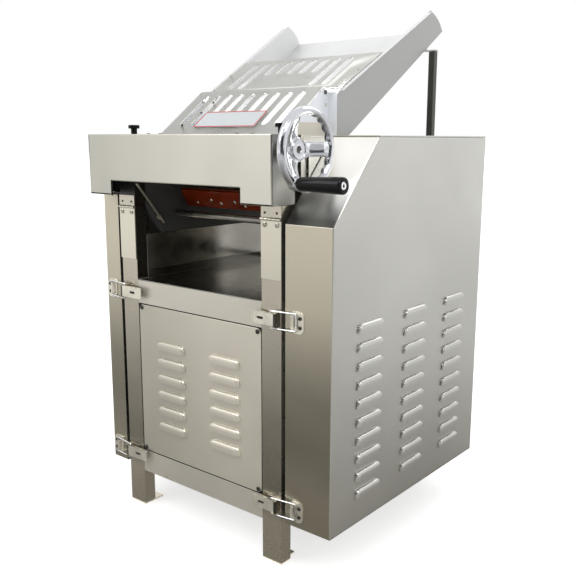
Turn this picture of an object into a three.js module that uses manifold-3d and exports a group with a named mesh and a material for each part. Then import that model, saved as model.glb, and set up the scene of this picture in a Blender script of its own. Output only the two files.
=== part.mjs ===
// Roller dough press on a tube frame: sloping feed tray, finger guards, two rollers behind a front hood,
// handwheel for the roller gap, side casings over the drive, toggle latches and a louvred front panel.
// Millimetres, +Z up, front towards -Y. It is built with the front faces of the posts at y = 0 and the
// floor at z = 0, and is moved at the end so that its origin is the middle of its base.
import * as THREE from "three";
import { mergeVertices } from "three/addons/utils/BufferGeometryUtils.js";
import Module from "manifold-3d";

const wasm = await Module();
wasm.setup();

// Clearances, stock and facets that all pieces share
const gap = 0.3;
const shaftFit = 0.1;
const overrun = 6;
const sheet = 1.5;
const weld = 0.0001;
const coarse = 8;
const medium = 12;
const fine = 24;
const cornerSteps = 3;
const slotSteps = 2;
const sides = { left: -1, right: 1 };

// Frame of rectangular tube
const openHalf = 185.5;
const postWide = 50;
const postDeep = 30;
const tubeWall = 2;
const frameDeep = 592;
const footWide = 40;
const footDeep = 55;
const footThick = 4;
const lugDeep = 44;
const lugThick = 4;
const lowerRailBottom = 87.5;
const railTall = 52;
const upperRailTop = 544;
const shelfThick = 3;
const postOuter = openHalf + postWide;

// Side casings
const casingGap = 10;
const casingWide = { left: 50, right: 111 };
const casingBottom = 96;
const casingTop = 860;
const slopeTall = 160;
const slopeRun = 142.5;
const casingInner = postOuter + casingGap;

// Louvres pressed into panels and casings
const louvre = { long: 90, tall: 15, proud: 8, pitch: 37.7, lip: 1.2, browShare: 0.5 };
const louvreRise = { casing: 68, panel: 79.5 };
const columnPitch = { casing: 170, panel: 81 };
const casingLouvre = {
  rows: 10, lowest: casingBottom + louvreRise.casing,
  columns: [frameDeep / 2 - columnPitch.casing, frameDeep / 2, frameDeep / 2 + columnPitch.casing],
};
const panelLouvre = {
  rows: 6, lowest: lowerRailBottom + railTall + louvreRise.panel,
  columns: [-columnPitch.panel, columnPitch.panel],
};

// Deck and hood. Places across are measured out from the opening or from the inner faces of the casings.
const deckThick = 2.5;
const deckTop = casingTop + gap + deckThick;
const slopeCheek = { from: 70, off: 3 };
const hoodRise = 5;
const hoodTall = 130;
const notchTall = 31;
const hoodRearGap = 2;
const hoodReach = { left: 40, right: 4, notchLeft: 26, notchRight: -15.5 };
const hood = {
  front: 43, back: 22, lipBack: 45, top: casingTop + hoodRise,
  left: casingInner + hoodReach.left, right: casingInner + hoodReach.right,
};
const tabBottom = hood.top - hoodTall;
const slopeFoot = {
  left: { y: hood.back + gap, z: tabBottom - gap }, right: { y: 0, z: casingTop - slopeTall },
};
const notch = {
  left: openHalf + hoodReach.notchLeft, right: openHalf + hoodReach.notchRight, top: tabBottom + notchTall,
};

// Rollers, cheeks and the gap gear
const cheekThick = 15;
const cheekTall = 215;
const cheekBottom = casingTop - cheekTall;
const rollerRadius = 52;
const rollerDrop = 65;
const rollerHeight = casingTop - rollerDrop;
const rearRollerAt = 239;
const rollerGap = 5;
const closeTravel = 4;
const openTravel = 11;
const shaftRadius = 17.5;
const runningGap = 0.8;
const housing = { radius: 34, thick: 24 };
const block = { half: 32, thick: 24, screwRadius: 10, screwFront: -28 };
const blockOut = 26.5;
const blockAt = openHalf + blockOut;
const frontRollerAt = rearRollerAt - rollerRadius - rollerRadius - rollerGap;

// Handwheel and its shaft
const wheelRise = 42;
const wheelAxis = { y: -11.5, z: rollerHeight + wheelRise };
const hubReach = {
  inner: 16.5, outer: 40.5, rimPlane: 57.5, gripFrom: 68.5, shaftEnd: 34.5, shaftStart: 42.5,
};
const wheelShaft = {
  radius: 9, left: -openHalf - hubReach.shaftStart, end: casingInner + hubReach.shaftEnd,
};
const worm = { radius: 11, long: 34, rings: 3 };
const hub = {
  inner: casingInner + hubReach.inner, outer: casingInner + hubReach.outer, radius: 17, bore: 9.3,
};
const rim = {
  plane: casingInner + hubReach.rimPlane, centreRadius: 70, tube: 9, scallop: 1.6, scallops: 21, steps: 42,
};
const spoke = { count: 3, from: 14, wideHub: 26, wideRim: 17, thick: 9 };
const grip = {
  radius: 15, from: casingInner + hubReach.gripFrom, long: 96, pin: 5, bore: 5.4,
  headRadius: 8, headDeep: 7, reach: 67, turn: 240, bevel: 3, taper: 6,
};
const shaftBracket = { thick: 8, tall: 26, reach: 12.3 };
const gapNut = { thick: 20, bore: 10.5, teeth: 20, toothDeep: 2, toothShare: 0.5 };

// Drive
const driveTooth = { module: 4, addendum: 3.2, dedendum: 5.4, share: 0.38 };
const toothForm = { tipShare: 0.55, rootShare: 1.3, halfPitch: 0.5 };
const pinionTeeth = 15;
const driveTeeth = 30;
const meshAngle = -20;
const driveOut = { gear: 42.5, link: 40.5, pulley: 16.5 };
const driveFace = { from: openHalf + driveOut.gear, wide: 16 };
const linkTeeth = 17;
const linkTooth = { addendum: 4, dedendum: 9.5, share: 0.36 };
const linkFace = { from: openHalf + driveOut.link, wide: 19 };
const pulley = { from: casingInner + driveOut.pulley, wide: 36, clearance: 7.78, motorRadius: 28 };
const belt = { wide: 26, thick: 9, seatGap: 0.9, steps: 18 };
const counterShaft = { radius: 12, boss: 24 };
const motorInset = 80.5;
const motorLift = 20.2;
const motorRadius = 80;
const motor = {
  radius: motorRadius, long: 230, at: 300, right: openHalf - motorInset, shaft: 12,
  height: lowerRailBottom + railTall + gap + motorLift + motorRadius,
};
const motorFoot = { wide: 110, long: 150, thick: 6, web: 40 };

// Feed tray and guards. Heights are measured up from the deck, and depths back from the frame's rear.
const trayRise = { lowTop: 91.9, endLow: 245.4, endBulge: 273.9, endTop: 286.9, post: 194.9 };
const trayReach = { endLow: 29, endBulge: 15, endTop: -26, post: -22 };
const guardFoot = deckTop + gap;
const trayOut = { left: -2.5, right: 14.5, top: 29.5 };
const tray = {
  half: { left: openHalf + trayOut.left, right: openHalf + trayOut.right },
  topHalf: openHalf + trayOut.top, wall: 2, foot: 221, floorFrom: 262,
  lowTop: guardFoot + trayRise.lowTop,
  endLow: [frameDeep + trayReach.endLow, guardFoot + trayRise.endLow],
  endBulge: [frameDeep + trayReach.endBulge, guardFoot + trayRise.endBulge],
  endTop: [frameDeep + trayReach.endTop, guardFoot + trayRise.endTop],
  endSteps: 6, lip: 10, lipStop: 12,
};
const guardInset = 7.5;
const guardRise = 97.9;
const slotEdge = 39.2;
const guard = {
  half: openHalf - guardInset, foot: 72, top: 204, topHeight: guardFoot + guardRise, slots: 9, slotWide: 17,
};
const slotPitch = ((guard.half - slotEdge) * 2) / (guard.slots - 1);
const earThick = 6;
const guardPivot = { drop: 13, setShare: 0.8, radius: 3, hole: 3.4, earFrom: guard.half - earThick };
const guardSide = { toe: 6, backDrop: 10.5, crestDrop: 3 };
const slotShares = { front: [0.2, 0.9], long: [0.12, 0.92], short: [0.5, 0.92] };
const trayGuard = { from: 236, to: 378, slotCount: 9, outerLong: 2 };
const label = { wide: 179, tall: 56, thick: 0.6, shift: -4.5, middleShare: 0.33 };
const trayPost = { size: 15, at: frameDeep + trayReach.post, height: guardFoot + trayRise.post };
const bracketThick = 3;

// Chamber. The strip and the round bar hang below the front roller, clear of it wherever it stands.
const floorLip = 21;
const wallInset = 122;
const backWallAt = frameDeep - wallInset;
const under = { stripTop: 56, stripLow: 95, bar: 109, strapTop: 36, strapLow: 128 };
const stripReach = { top: 7, low: 30, bar: -8 };
const strip = {
  top: [frontRollerAt + stripReach.top, rollerHeight - under.stripTop],
  low: [frontRollerAt + stripReach.low, rollerHeight - under.stripLow], thick: 8,
};
const tieBar = { y: frontRollerAt + stripReach.bar, z: rollerHeight - under.bar, radius: 8 };
const strapAt = { top: -2.6, low: 73 };
const strap = {
  top: [strapAt.top, rollerHeight - under.strapTop], low: [strapAt.low, rollerHeight - under.strapLow],
  thick: 5, off: 5, footShare: 0.15,
};
const cheekCut = { rise: 62, run: 45 };

// Latches: heights from the upper rail and the casing, places across from the opening and the casing
const latchInset = { upper: 28, lower: 35 };
const latch = { upper: upperRailTop - latchInset.upper, lower: casingBottom + latchInset.lower };
const latchOut = {
  tip: -25.5, shoulder: 20.5, pivot: 42.5, baseFrom: 14.5, earFrom: 35.5, baseTo: 48.5, bail: 26.5,
};
const strikeOut = { from: 16.5, hook: 26.5, wire: 34.5, to: 45.5 };
const lever = {
  from: openHalf + latchOut.tip, shoulderFrom: openHalf + latchOut.shoulder,
  pivot: openHalf + latchOut.pivot, thick: 2.5, stand: 11, barrel: 3.5,
};
const bail = {
  wire: 2, half: 17, inner: openHalf + latchOut.bail, hook: casingInner + strikeOut.wire,
  facets: 6, steps: 20,
};
const strike = {
  from: casingInner + strikeOut.from, to: casingInner + strikeOut.to, hookAt: casingInner + strikeOut.hook,
  half: 22, thick: 1.5, hookThick: 3, hookTall: 9, hookHalf: 12,
};
const latchBase = {
  from: openHalf + latchOut.baseFrom, to: openHalf + latchOut.baseTo, earFrom: openHalf + latchOut.earFrom,
  half: 14.7, thick: 1.5, ear: 1.6, earTall: 13,
};
const leverHalf = latchBase.half - latchBase.ear - gap;

// Flaps, knobs and small fittings
const flapSize = { drop: 2, leaf: 26, long: 116 };
const flapTop = tabBottom - flapSize.drop;
const flap = {
  wide: 51, top: flapTop, pivot: flapTop - flapSize.leaf, bottom: flapTop - flapSize.leaf - flapSize.long,
  thick: 2, knuckle: 3.2, offset: 0.5,
};
const knobOut = 27.5;
const knob = {
  x: openHalf + knobOut, y: 27, cap: 12.4, capTall: 8, stem: 6.8, stemTall: 12, screw: 4, hole: 4.6,
};
const fittingInset = 65.5;
const glandRise = 74;
const gland = {
  x: openHalf - fittingInset, z: casingBottom + glandRise, radius: 11, flange: 15, flangeThick: 5,
  facets: 6, inside: 4.5, long: 24, bore: 5, hole: 11.4,
};
const switchDrop = 160;
const powerSwitch = {
  x: openHalf - fittingInset, z: casingTop - switchDrop, radius: 22, plate: 30, thick: 8,
  barWide: 10, barTall: 9,
};
const panelGap = 2.5;
const panelCorner = 12;
const tabInset = { from: 40.5, to: 10.5 };
const panelTab = { from: openHalf - tabInset.from, to: openHalf - tabInset.to, tall: 22, thick: 3 };

// Finishes
const finishes = {
  front: { color: 0xcdc8bc, roughness: 0.35, metalness: 1 },
  cool: { color: 0xbebeba, roughness: 0.4, metalness: 1 },
  mirror: { color: 0xb9b9b6, roughness: 0.12, metalness: 1 },
  chrome: { color: 0xd9dadc, roughness: 0.08, metalness: 1 },
  steel: { color: 0x9a9a98, roughness: 0.3, metalness: 1 },
  darkPaint: { color: 0x34342e, roughness: 0.6, metalness: 0.1 },
  redPaint: { color: 0x8c2a16, roughness: 0.5, metalness: 0 },
  black: { color: 0x101010, roughness: 0.25, metalness: 0 },
  rubber: { color: 0x1b1b1b, roughness: 0.8, metalness: 0 },
  castIron: { color: 0x50534f, roughness: 0.7, metalness: 0.6 },
  motorPaint: { color: 0x3d5a6c, roughness: 0.5, metalness: 0.2 },
  white: { color: 0xf1f0ee, roughness: 0.4, metalness: 0 },
};
const materials = {};
for (const [name, look] of Object.entries(finishes)) {
  materials[name] = new THREE.MeshStandardMaterial(look);
}

const machine = new THREE.Group();

function add(name, geometry, finish, parent = machine) {
  const mesh = new THREE.Mesh(geometry, materials[finish]);
  mesh.name = name;
  parent.add(mesh);
  return mesh;
}

// Booleans on closed geometries
function toSolid(geometry) {
  const bare = geometry.clone();
  bare.deleteAttribute("normal");
  bare.deleteAttribute("uv");
  const merged = mergeVertices(bare, weld);
  const vertProperties = new Float32Array(merged.attributes.position.array);
  const triVerts = new Uint32Array(merged.index.array);
  return new wasm.Manifold(new wasm.Mesh({ numProp: 3, vertProperties, triVerts }));
}

function toGeometry(solid) {
  const mesh = solid.getMesh();
  const geometry = new THREE.BufferGeometry();
  geometry.setAttribute("position", new THREE.BufferAttribute(new Float32Array(mesh.vertProperties), 3));
  geometry.setIndex(new THREE.BufferAttribute(new Uint32Array(mesh.triVerts), 1));
  geometry.computeVertexNormals();
  return geometry;
}

function join(...geometries) {
  let whole = toSolid(geometries[0]);
  for (const piece of geometries.slice(1)) whole = whole.add(toSolid(piece));
  return toGeometry(whole);
}

function cut(base, ...cutters) {
  let whole = toSolid(base);
  for (const cutter of cutters) whole = whole.subtract(toSolid(cutter));
  return toGeometry(whole);
}

// Shapes placed by their limits
function slab(x, y, z) {
  const size = [x, y, z].map(([low, high]) => high - low);
  const middle = [x, y, z].map(([low, high]) => (low + high) / 2);
  return new THREE.BoxGeometry(...size).translate(...middle);
}

// The two limits of a span on one side of the machine, nearest the middle first
function span(side, inner, outer) {
  const ends = [sides[side] * inner, sides[side] * outer];
  return [Math.min(...ends), Math.max(...ends)];
}

function rod(axis, radius, [from, to], [first, second], facets = medium) {
  const bar = new THREE.CylinderGeometry(radius, radius, to - from, facets);
  const middle = (from + to) / 2;
  if (axis === "x") return bar.rotateZ(Math.PI / 2).translate(middle, first, second);
  if (axis === "y") return bar.translate(first, middle, second);
  return bar.rotateX(Math.PI / 2).translate(first, second, middle);
}

function shapeOf(points) {
  return new THREE.Shape(points.map(([a, b]) => new THREE.Vector2(a, b)));
}

// An outline in (y, z) made solid between two x values
function plateAlongX(points, [from, to]) {
  const plate = new THREE.ExtrudeGeometry(shapeOf(points), { depth: to - from, bevelEnabled: false });
  const turn = new THREE.Matrix4().set(0, 0, 1, from, 1, 0, 0, 0, 0, 1, 0, 0, 0, 0, 0, 1);
  return plate.applyMatrix4(turn);
}

// An outline in (x, z) made solid between two y values
function plateAlongY(points, [from, to]) {
  const plate = new THREE.ExtrudeGeometry(shapeOf(points), { depth: to - from, bevelEnabled: false });
  const turn = new THREE.Matrix4().set(1, 0, 0, 0, 0, 0, -1, to, 0, 1, 0, 0, 0, 0, 0, 1);
  return plate.applyMatrix4(turn);
}

// An outline in (x, y) made solid between two z values
function plateAlongZ(points, [from, to]) {
  const plate = new THREE.ExtrudeGeometry(shapeOf(points), { depth: to - from, bevelEnabled: false });
  return plate.translate(0, 0, from);
}

// A bar of round or square section along a route of points
function wire(points, radius, facets, steps) {
  const section = new THREE.Shape();
  for (let i = 0; i < facets; i += 1) {
    const angle = (i * 2 * Math.PI) / facets;
    const point = [radius * Math.cos(angle), radius * Math.sin(angle)];
    if (i === 0) section.moveTo(...point);
    else section.lineTo(...point);
  }
  const route = new THREE.CurvePath();
  const corners = points.map((p) => new THREE.Vector3(...p));
  for (let i = 1; i < corners.length; i += 1) route.add(new THREE.LineCurve3(corners[i - 1], corners[i]));
  return new THREE.ExtrudeGeometry(section, { steps, extrudePath: route, bevelEnabled: false });
}

function rounded(width, height, radius, steps) {
  const points = [];
  const corners = [[1, -1, -90], [1, 1, 0], [-1, 1, 90], [-1, -1, 180]];
  for (const [signX, signY, start] of corners) {
    for (let i = 0; i <= steps; i += 1) {
      const angle = THREE.MathUtils.degToRad(start + (90 * i) / steps);
      const x = signX * (width / 2 - radius) + radius * Math.cos(angle);
      const y = signY * (height / 2 - radius) + radius * Math.sin(angle);
      points.push([x, y]);
    }
  }
  return points;
}

// A slot outline, its length along the second axis
function slotOutline(x, low, high, width) {
  return rounded(width, high - low, width / 2, slotSteps).map(([a, b]) => [a + x, b + (low + high) / 2]);
}

// Louvre pressings: a raised hood with its mouth below, cut through the sheet it stands on
function louvreHood(bottom, inset) {
  const { tall, proud } = louvre;
  return [
    [inset, bottom + tall - inset],
    [-proud + inset, bottom + tall * louvre.browShare],
    [-proud + inset, bottom - (inset > 0 ? louvre.lip : 0)],
    [sheet + inset, bottom - (inset > 0 ? louvre.lip : 0)],
    [sheet + inset, bottom + tall - inset],
  ];
}

// Adds a field of louvres to a sheet whose outer face is y = 0 facing -Y, its columns centred on given x
function louvredSheet(base, centres, lowest, rows) {
  const hoods = [];
  const mouths = [];
  for (const centre of centres) {
    for (let row = 0; row < rows; row += 1) {
      const bottom = lowest + row * louvre.pitch - louvre.tall / 2;
      const ends = [centre - louvre.long / 2, centre + louvre.long / 2];
      hoods.push(plateAlongX(louvreHood(bottom, 0), ends));
      const within = [ends[0] + louvre.lip, ends[1] - louvre.lip];
      mouths.push(plateAlongX(louvreHood(bottom, louvre.lip), within));
    }
  }
  return cut(join(base, ...hoods), ...mouths);
}

// Frame

function makePost(side, end) {
  const front = end === "front";
  const y = front ? [0, postDeep] : [frameDeep - postDeep, frameDeep];
  const x = span(side, openHalf, postOuter);
  const top = front ? hood.top - sheet - gap : casingTop;
  const hollow = slab(
    [x[0] + tubeWall, x[1] - tubeWall], [y[0] + tubeWall, y[1] - tubeWall], [footThick, top + overrun]);
  const footY = front ? [0, footDeep] : [frameDeep - footDeep, frameDeep];
  let post = cut(slab(x, y, [0, top]), hollow);
  post = join(post, slab(span(side, openHalf, openHalf + footWide), footY, [0, footThick]));
  if (front) post = withHoodFittings(post, side, x, top);
  return post;
}

// The front posts carry the hood lug, the bracket of the adjusting shaft, the flap leaf and latch bases
function withHoodFittings(post, side, x, top) {
  const lugX = span(side, openHalf + cheekThick + gap, postOuter);
  const lug = slab(lugX, [0, lugDeep], [top - lugThick, top]);
  const bracketX = span(side, openHalf, openHalf + shaftBracket.thick);
  const bracketZ = [wheelAxis.z - shaftBracket.tall / 2, wheelAxis.z + shaftBracket.tall / 2];
  const bracket = slab(bracketX, [wheelAxis.y - shaftBracket.reach, tubeWall], bracketZ);
  const leafX = span(side, openHalf + flap.offset, openHalf + flap.offset + flap.wide);
  const leaf = slab(leafX, [-flap.thick, sheet], [flap.pivot + flap.knuckle + gap, flap.top]);
  const pieces = [post, lug, bracket, leaf];
  for (const height of Object.values(latch)) pieces.push(...latchBasePieces(side, height));
  const shaftHole = rod("x", wheelShaft.radius + gap, [x[0] - overrun, x[1] + overrun],
    [wheelAxis.y, wheelAxis.z], fine);
  const screwHole = rod("y", block.screwRadius + gap, [-overrun, postDeep + overrun],
    [sides[side] * blockAt, rollerHeight]);
  const knobHole = rod("z", knob.screw + gap, [top - lugThick - overrun, top + overrun],
    [sides[side] * knob.x, knob.y]);
  return cut(join(...pieces), shaftHole, screwHole, knobHole);
}

function latchBasePieces(side, height) {
  const plateX = span(side, latchBase.from, latchBase.to);
  const earX = span(side, latchBase.earFrom, latchBase.to);
  const plateZ = [height - latchBase.half, height + latchBase.half];
  const pieces = [slab(plateX, [-latchBase.thick, sheet], plateZ)];
  for (const end of [-1, 1]) {
    const ear = [height + end * (latchBase.half - latchBase.ear), height + end * latchBase.half];
    pieces.push(slab(earX, [-latchBase.earTall - lever.barrel, sheet], ear.sort((a, b) => a - b)));
  }
  return pieces;
}

function makeFrame() {
  for (const side of Object.keys(sides)) {
    for (const end of ["front", "rear"]) {
      add(`post_${end}_${side}`, makePost(side, end), end === "front" ? "front" : "cool");
    }
  }
  const railX = [gap - openHalf, openHalf - gap];
  const lowerZ = [lowerRailBottom, lowerRailBottom + railTall];
  const upperZ = [upperRailTop - railTall, upperRailTop];
  const upperTab = [upperZ[0] - panelTab.tall, upperZ[0] + weld];
  const lowerTab = [lowerZ[1] - weld, lowerZ[1] + panelTab.tall];
  add("rail_front_upper", makeFrontRail(railX, upperZ, upperTab), "front");
  add("rail_front_lower", makeFrontRail(railX, lowerZ, lowerTab), "front");
  add("rail_rear", slab(railX, [frameDeep - postDeep, frameDeep], lowerZ), "cool");
  add("base_shelf", makeShelf(lowerZ), "cool");
}

// A front rail with two tabs behind the panel, which its screws are driven into
function makeFrontRail(x, z, tabZ) {
  const tabs = Object.keys(sides).map((side) =>
    slab(span(side, panelTab.from, panelTab.to), [sheet + gap, sheet + gap + panelTab.thick], tabZ));
  return join(slab(x, [0, postDeep], z), ...tabs);
}

// Folded pan between the posts, with side flanges down to the level of the rails' lower faces
function makeShelf([low, high]) {
  const y = [postDeep + gap, frameDeep - postDeep - gap];
  const top = slab([-postOuter, postOuter], y, [high - shelfThick, high]);
  const flanges = Object.keys(sides).map((side) =>
    slab(span(side, postOuter - shelfThick, postOuter), y, [low, high]));
  return join(top, ...flanges);
}

// Panels

function makeFrontPanel() {
  const z = [lowerRailBottom + railTall + panelGap, upperRailTop - railTall - panelGap];
  const tall = z[1] - z[0];
  const wide = (openHalf - panelGap) * 2;
  const outline = rounded(wide, tall, panelCorner, cornerSteps).map(([a, b]) => [a, b + z[0] + tall / 2]);
  const panel = plateAlongY(outline, [0, sheet]);
  return louvredSheet(panel, panelLouvre.columns, panelLouvre.lowest, panelLouvre.rows);
}

function makeRearPanel() {
  const z = [lowerRailBottom + railTall + gap, casingTop - gap];
  const x = [gap - openHalf, openHalf - gap];
  const panel = slab(x, [0, sheet], z);
  const lowest = panelLouvre.lowest + panelLouvre.rows * louvre.pitch / 2;
  const louvred = louvredSheet(panel, panelLouvre.columns, lowest, panelLouvre.rows);
  louvred.rotateZ(Math.PI).translate(0, frameDeep - sheet / 2, 0);
  const glandHole = rod("y", gland.hole, [frameDeep - overrun, frameDeep + overrun], [gland.x, gland.z]);
  const plate = slab([powerSwitch.x - powerSwitch.plate, powerSwitch.x + powerSwitch.plate],
    [frameDeep - sheet, frameDeep + sheet],
    [powerSwitch.z - powerSwitch.plate, powerSwitch.z + powerSwitch.plate]);
  return cut(join(louvred, plate), glandHole);
}

// Side casings: folded shells, open towards the frame

// Where the sloping front of a casing meets its top. Both sides slope alike.
function slopeTopAt(side) {
  const foot = slopeFoot[side];
  return foot.y + ((casingTop - foot.z) * slopeRun) / slopeTall;
}

// The left casing steps back under the end of the hood before its slope starts
function casingOutline(side, inset) {
  const foot = slopeFoot[side];
  const outline = [
    [inset, casingBottom + inset],
    [frameDeep - inset, casingBottom + inset],
    [frameDeep - inset, casingTop - inset],
    [slopeTopAt(side) + inset / 2, casingTop - inset],
  ];
  if (side === "right") outline.push([foot.y + inset, foot.z - inset / 2]);
  else outline.push([foot.y + inset, foot.z - inset], [inset, foot.z - inset]);
  return outline;
}

function makeCasing(side) {
  const outer = casingInner + casingWide[side];
  const shell = cut(
    plateAlongX(casingOutline(side, 0), span(side, casingInner, outer)),
    plateAlongX(casingOutline(side, sheet), span(side, casingInner - overrun, outer - sheet)),
  );
  const hoods = sideHoods(side, outer, 0);
  const mouths = sideHoods(side, outer, louvre.lip);
  const pieces = [shell, ...hoods];
  for (const height of Object.values(latch)) pieces.push(...strikePieces(side, height));
  return cut(join(...pieces), ...mouths);
}

// Louvre hoods or mouths on a casing's side face
function sideHoods(side, outer, inset) {
  const made = [];
  for (const centre of casingLouvre.columns) {
    for (let row = 0; row < casingLouvre.rows; row += 1) {
      const bottom = casingLouvre.lowest + row * louvre.pitch - louvre.tall / 2;
      const ends = [centre - louvre.long / 2 + inset, centre + louvre.long / 2 - inset];
      const piece = plateAlongX(louvreHood(bottom, inset), ends);
      piece.rotateZ(Math.PI / 2).translate(outer, 0, 0);
      if (side === "left") piece.rotateZ(Math.PI).translate(0, centre * 2, 0);
      made.push(piece);
    }
  }
  return made;
}

function strikePieces(side, height) {
  const z = [height - strike.half, height + strike.half];
  const plate = slab(span(side, strike.from, strike.to), [-strike.thick, sheet], z);
  const hookX = span(side, strike.hookAt, strike.hookAt + strike.hookThick);
  const hook = slab(hookX, [-strike.hookTall, sheet], [height - strike.hookHalf, height + strike.hookHalf]);
  return [plate, hook];
}

// Deck over casings and cheeks, with the throat that the rollers are fed through. On the right it is
// folded down over the slope's inner edge.
function makeDeck() {
  const left = -casingInner - casingWide.left;
  const right = casingInner + casingWide.right;
  const front = hood.lipBack + gap;
  const corner = { left: slopeTopAt("left"), right: slopeTopAt("right") };
  const outline = [
    [-casingInner, front], [casingInner, front], [casingInner, corner.right], [right, corner.right],
    [right, frameDeep], [left, frameDeep], [left, corner.left], [-casingInner, corner.left],
  ];
  const z = [casingTop + gap, deckTop];
  const deck = plateAlongZ(outline, z);
  const throatHalf = guard.half - overrun;
  const throatY = [guard.foot + overrun, tray.floorFrom];
  const throat = slab([-throatHalf, throatHalf], throatY, [z[0] - overrun, z[1] + overrun]);
  return cut(join(deck, makeSlopeCheek(corner.right, z[1])), throat);
}

function makeSlopeCheek(cornerY, top) {
  const slope = slopeTall / slopeRun;
  const outline = [
    [slopeCheek.from, casingTop - (cornerY - slopeCheek.from) * slope + slopeCheek.off],
    [cornerY - slopeCheek.off, casingTop], [cornerY - slopeCheek.off, top], [slopeCheek.from, top],
  ];
  return plateAlongX(outline, [casingInner - gap - sheet, casingInner - gap]);
}

function makeHood() {
  const { front, back, top, left, right, lipBack } = hood;
  const shellX = [-left, right];
  const shell = cut(
    slab(shellX, [-front, back], [tabBottom, top]),
    slab([sheet - left, right - sheet], [sheet - front, back + overrun], [tabBottom - overrun, top - sheet]),
    slab([-notch.left, notch.right], [-front - overrun, back + overrun], [tabBottom - overrun, notch.top]),
  );
  const lip = slab([-casingInner, casingInner], [back - sheet, lipBack], [top - sheet, top]);
  const rearX = [sheet / 2 - left, -postOuter - hoodRearGap];
  const rear = slab(rearX, [back - sheet, back], [tabBottom, top - sheet / 2]);
  const shaftHole = rod("x", wheelShaft.radius + runningGap, [right - overrun, right + overrun],
    [wheelAxis.y, wheelAxis.z]);
  const knobHoles = Object.values(sides).map((sign) =>
    rod("z", knob.hole, [top - overrun, top + overrun], [sign * knob.x, knob.y]));
  return cut(join(shell, lip, rear), shaftHole, ...knobHoles);
}

// Chamber

function makeFloor() {
  const half = openHalf - gap;
  const y = [0, frameDeep - postDeep - gap];
  const low = upperRailTop + gap;
  const floor = slab([-half, half], y, [low, low + sheet]);
  const lips = Object.keys(sides).map((side) =>
    slab(span(side, half - sheet, half), [postDeep, y[1]], [low, low + floorLip]));
  return join(floor, ...lips);
}

function makeChamber() {
  add("chamber_floor", makeFloor(), "mirror");
  const wallY = [postDeep + gap, frameDeep - postDeep - gap];
  const wallZ = [upperRailTop + gap, cheekBottom - gap];
  for (const side of Object.keys(sides)) {
    add(`inner_wall_${side}`, slab(span(side, openHalf, openHalf + sheet), wallY, wallZ), "mirror");
  }
  add("back_wall", makeBackWall(), "steel");
  add("scraper_strip", makeStrip(), "redPaint");
  const barX = [gap - openHalf, openHalf - gap];
  add("tie_bar", rod("x", tieBar.radius, barX, [tieBar.y, tieBar.z]), "steel");
}

function makeBackWall() {
  const half = openHalf - gap;
  const z = [upperRailTop + gap + floorLip + gap, casingTop];
  const web = slab([-half, half], [backWallAt, backWallAt + sheet], z);
  const flanges = Object.keys(sides).map((side) =>
    slab(span(side, half - sheet, half), [backWallAt, backWallAt + floorLip], z));
  return join(web, ...flanges);
}

function makeStrip() {
  const [topY, topZ] = strip.top;
  const [lowY, lowZ] = strip.low;
  const length = Math.hypot(lowY - topY, lowZ - topZ);
  const across = [((topZ - lowZ) / length) * strip.thick, ((lowY - topY) / length) * strip.thick];
  const outline = [
    [topY, topZ], [lowY, lowZ], [lowY + across[0], lowZ + across[1]], [topY + across[0], topZ + across[1]],
  ];
  return plateAlongX(outline, [gap - openHalf, openHalf - gap]);
}

// Cheeks and rollers

function makeCheek(side) {
  const y = [postDeep + gap, frameDeep - postDeep - gap];
  const outline = [
    [y[0] + cheekCut.run, cheekBottom], [y[1], cheekBottom], [y[1], casingTop],
    [y[0], casingTop], [y[0], cheekBottom + cheekCut.rise],
  ];
  const outer = openHalf + cheekThick;
  const pieces = [plateAlongX(outline, span(side, openHalf, outer))];
  pieces.push(rod("x", housing.radius, span(side, openHalf + gap, outer + housing.thick),
    [rearRollerAt, rollerHeight], fine));
  if (side === "right") {
    const [counterY, counterZ] = counterAt();
    const bossX = span(side, openHalf + gap, driveFace.from - gap);
    pieces.push(rod("x", counterShaft.boss, bossX, [counterY, counterZ], medium));
  } else {
    pieces.push(makeStrap());
  }
  const through = span(side, openHalf - overrun, outer + housing.thick + overrun);
  const bore = rod("x", shaftRadius + runningGap, through, [rearRollerAt, rollerHeight], fine);
  const slotY = [frontRollerAt - openTravel, frontRollerAt + closeTravel];
  const reach = shaftRadius + runningGap;
  const windowZ = [rollerHeight - reach, rollerHeight + reach];
  const window = slab(through, [slotY[0] - reach, slotY[1] + reach], windowZ);
  const cutters = [bore, window];
  if (side === "right") {
    const [counterY, counterZ] = counterAt();
    const boreX = span(side, openHalf + cheekThick / 2, driveFace.from + overrun);
    cutters.push(rod("x", counterShaft.radius + runningGap, boreX, [counterY, counterZ], medium));
  }
  return cut(join(...pieces), ...cutters);
}

// Flat diagonal strap on the left cheek, standing off it on a foot
function makeStrap() {
  const [topY, topZ] = strap.top;
  const [lowY, lowZ] = strap.low;
  const outline = [
    [topY, topZ], [topY + strap.thick, topZ], [lowY + strap.thick, lowZ], [lowY, lowZ],
  ].reverse();
  const bar = plateAlongX(outline, span("left", openHalf - strap.off - strap.thick, openHalf - strap.off));
  const footY = lowY + (topY - lowY) * strap.footShare + strap.thick / 2;
  const footZ = lowZ + (topZ - lowZ) * strap.footShare;
  const footX = span("left", openHalf - strap.off - strap.thick / 2, openHalf + sheet);
  const foot = rod("x", strap.thick, footX, [footY, footZ], coarse);
  return join(bar, foot);
}

function makeRoller(y, ends) {
  const half = openHalf - gap - sheet;
  const body = rod("x", rollerRadius, [-half, half], [y, rollerHeight], fine + medium);
  return join(body, rod("x", shaftRadius, ends, [y, rollerHeight], fine));
}

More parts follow.
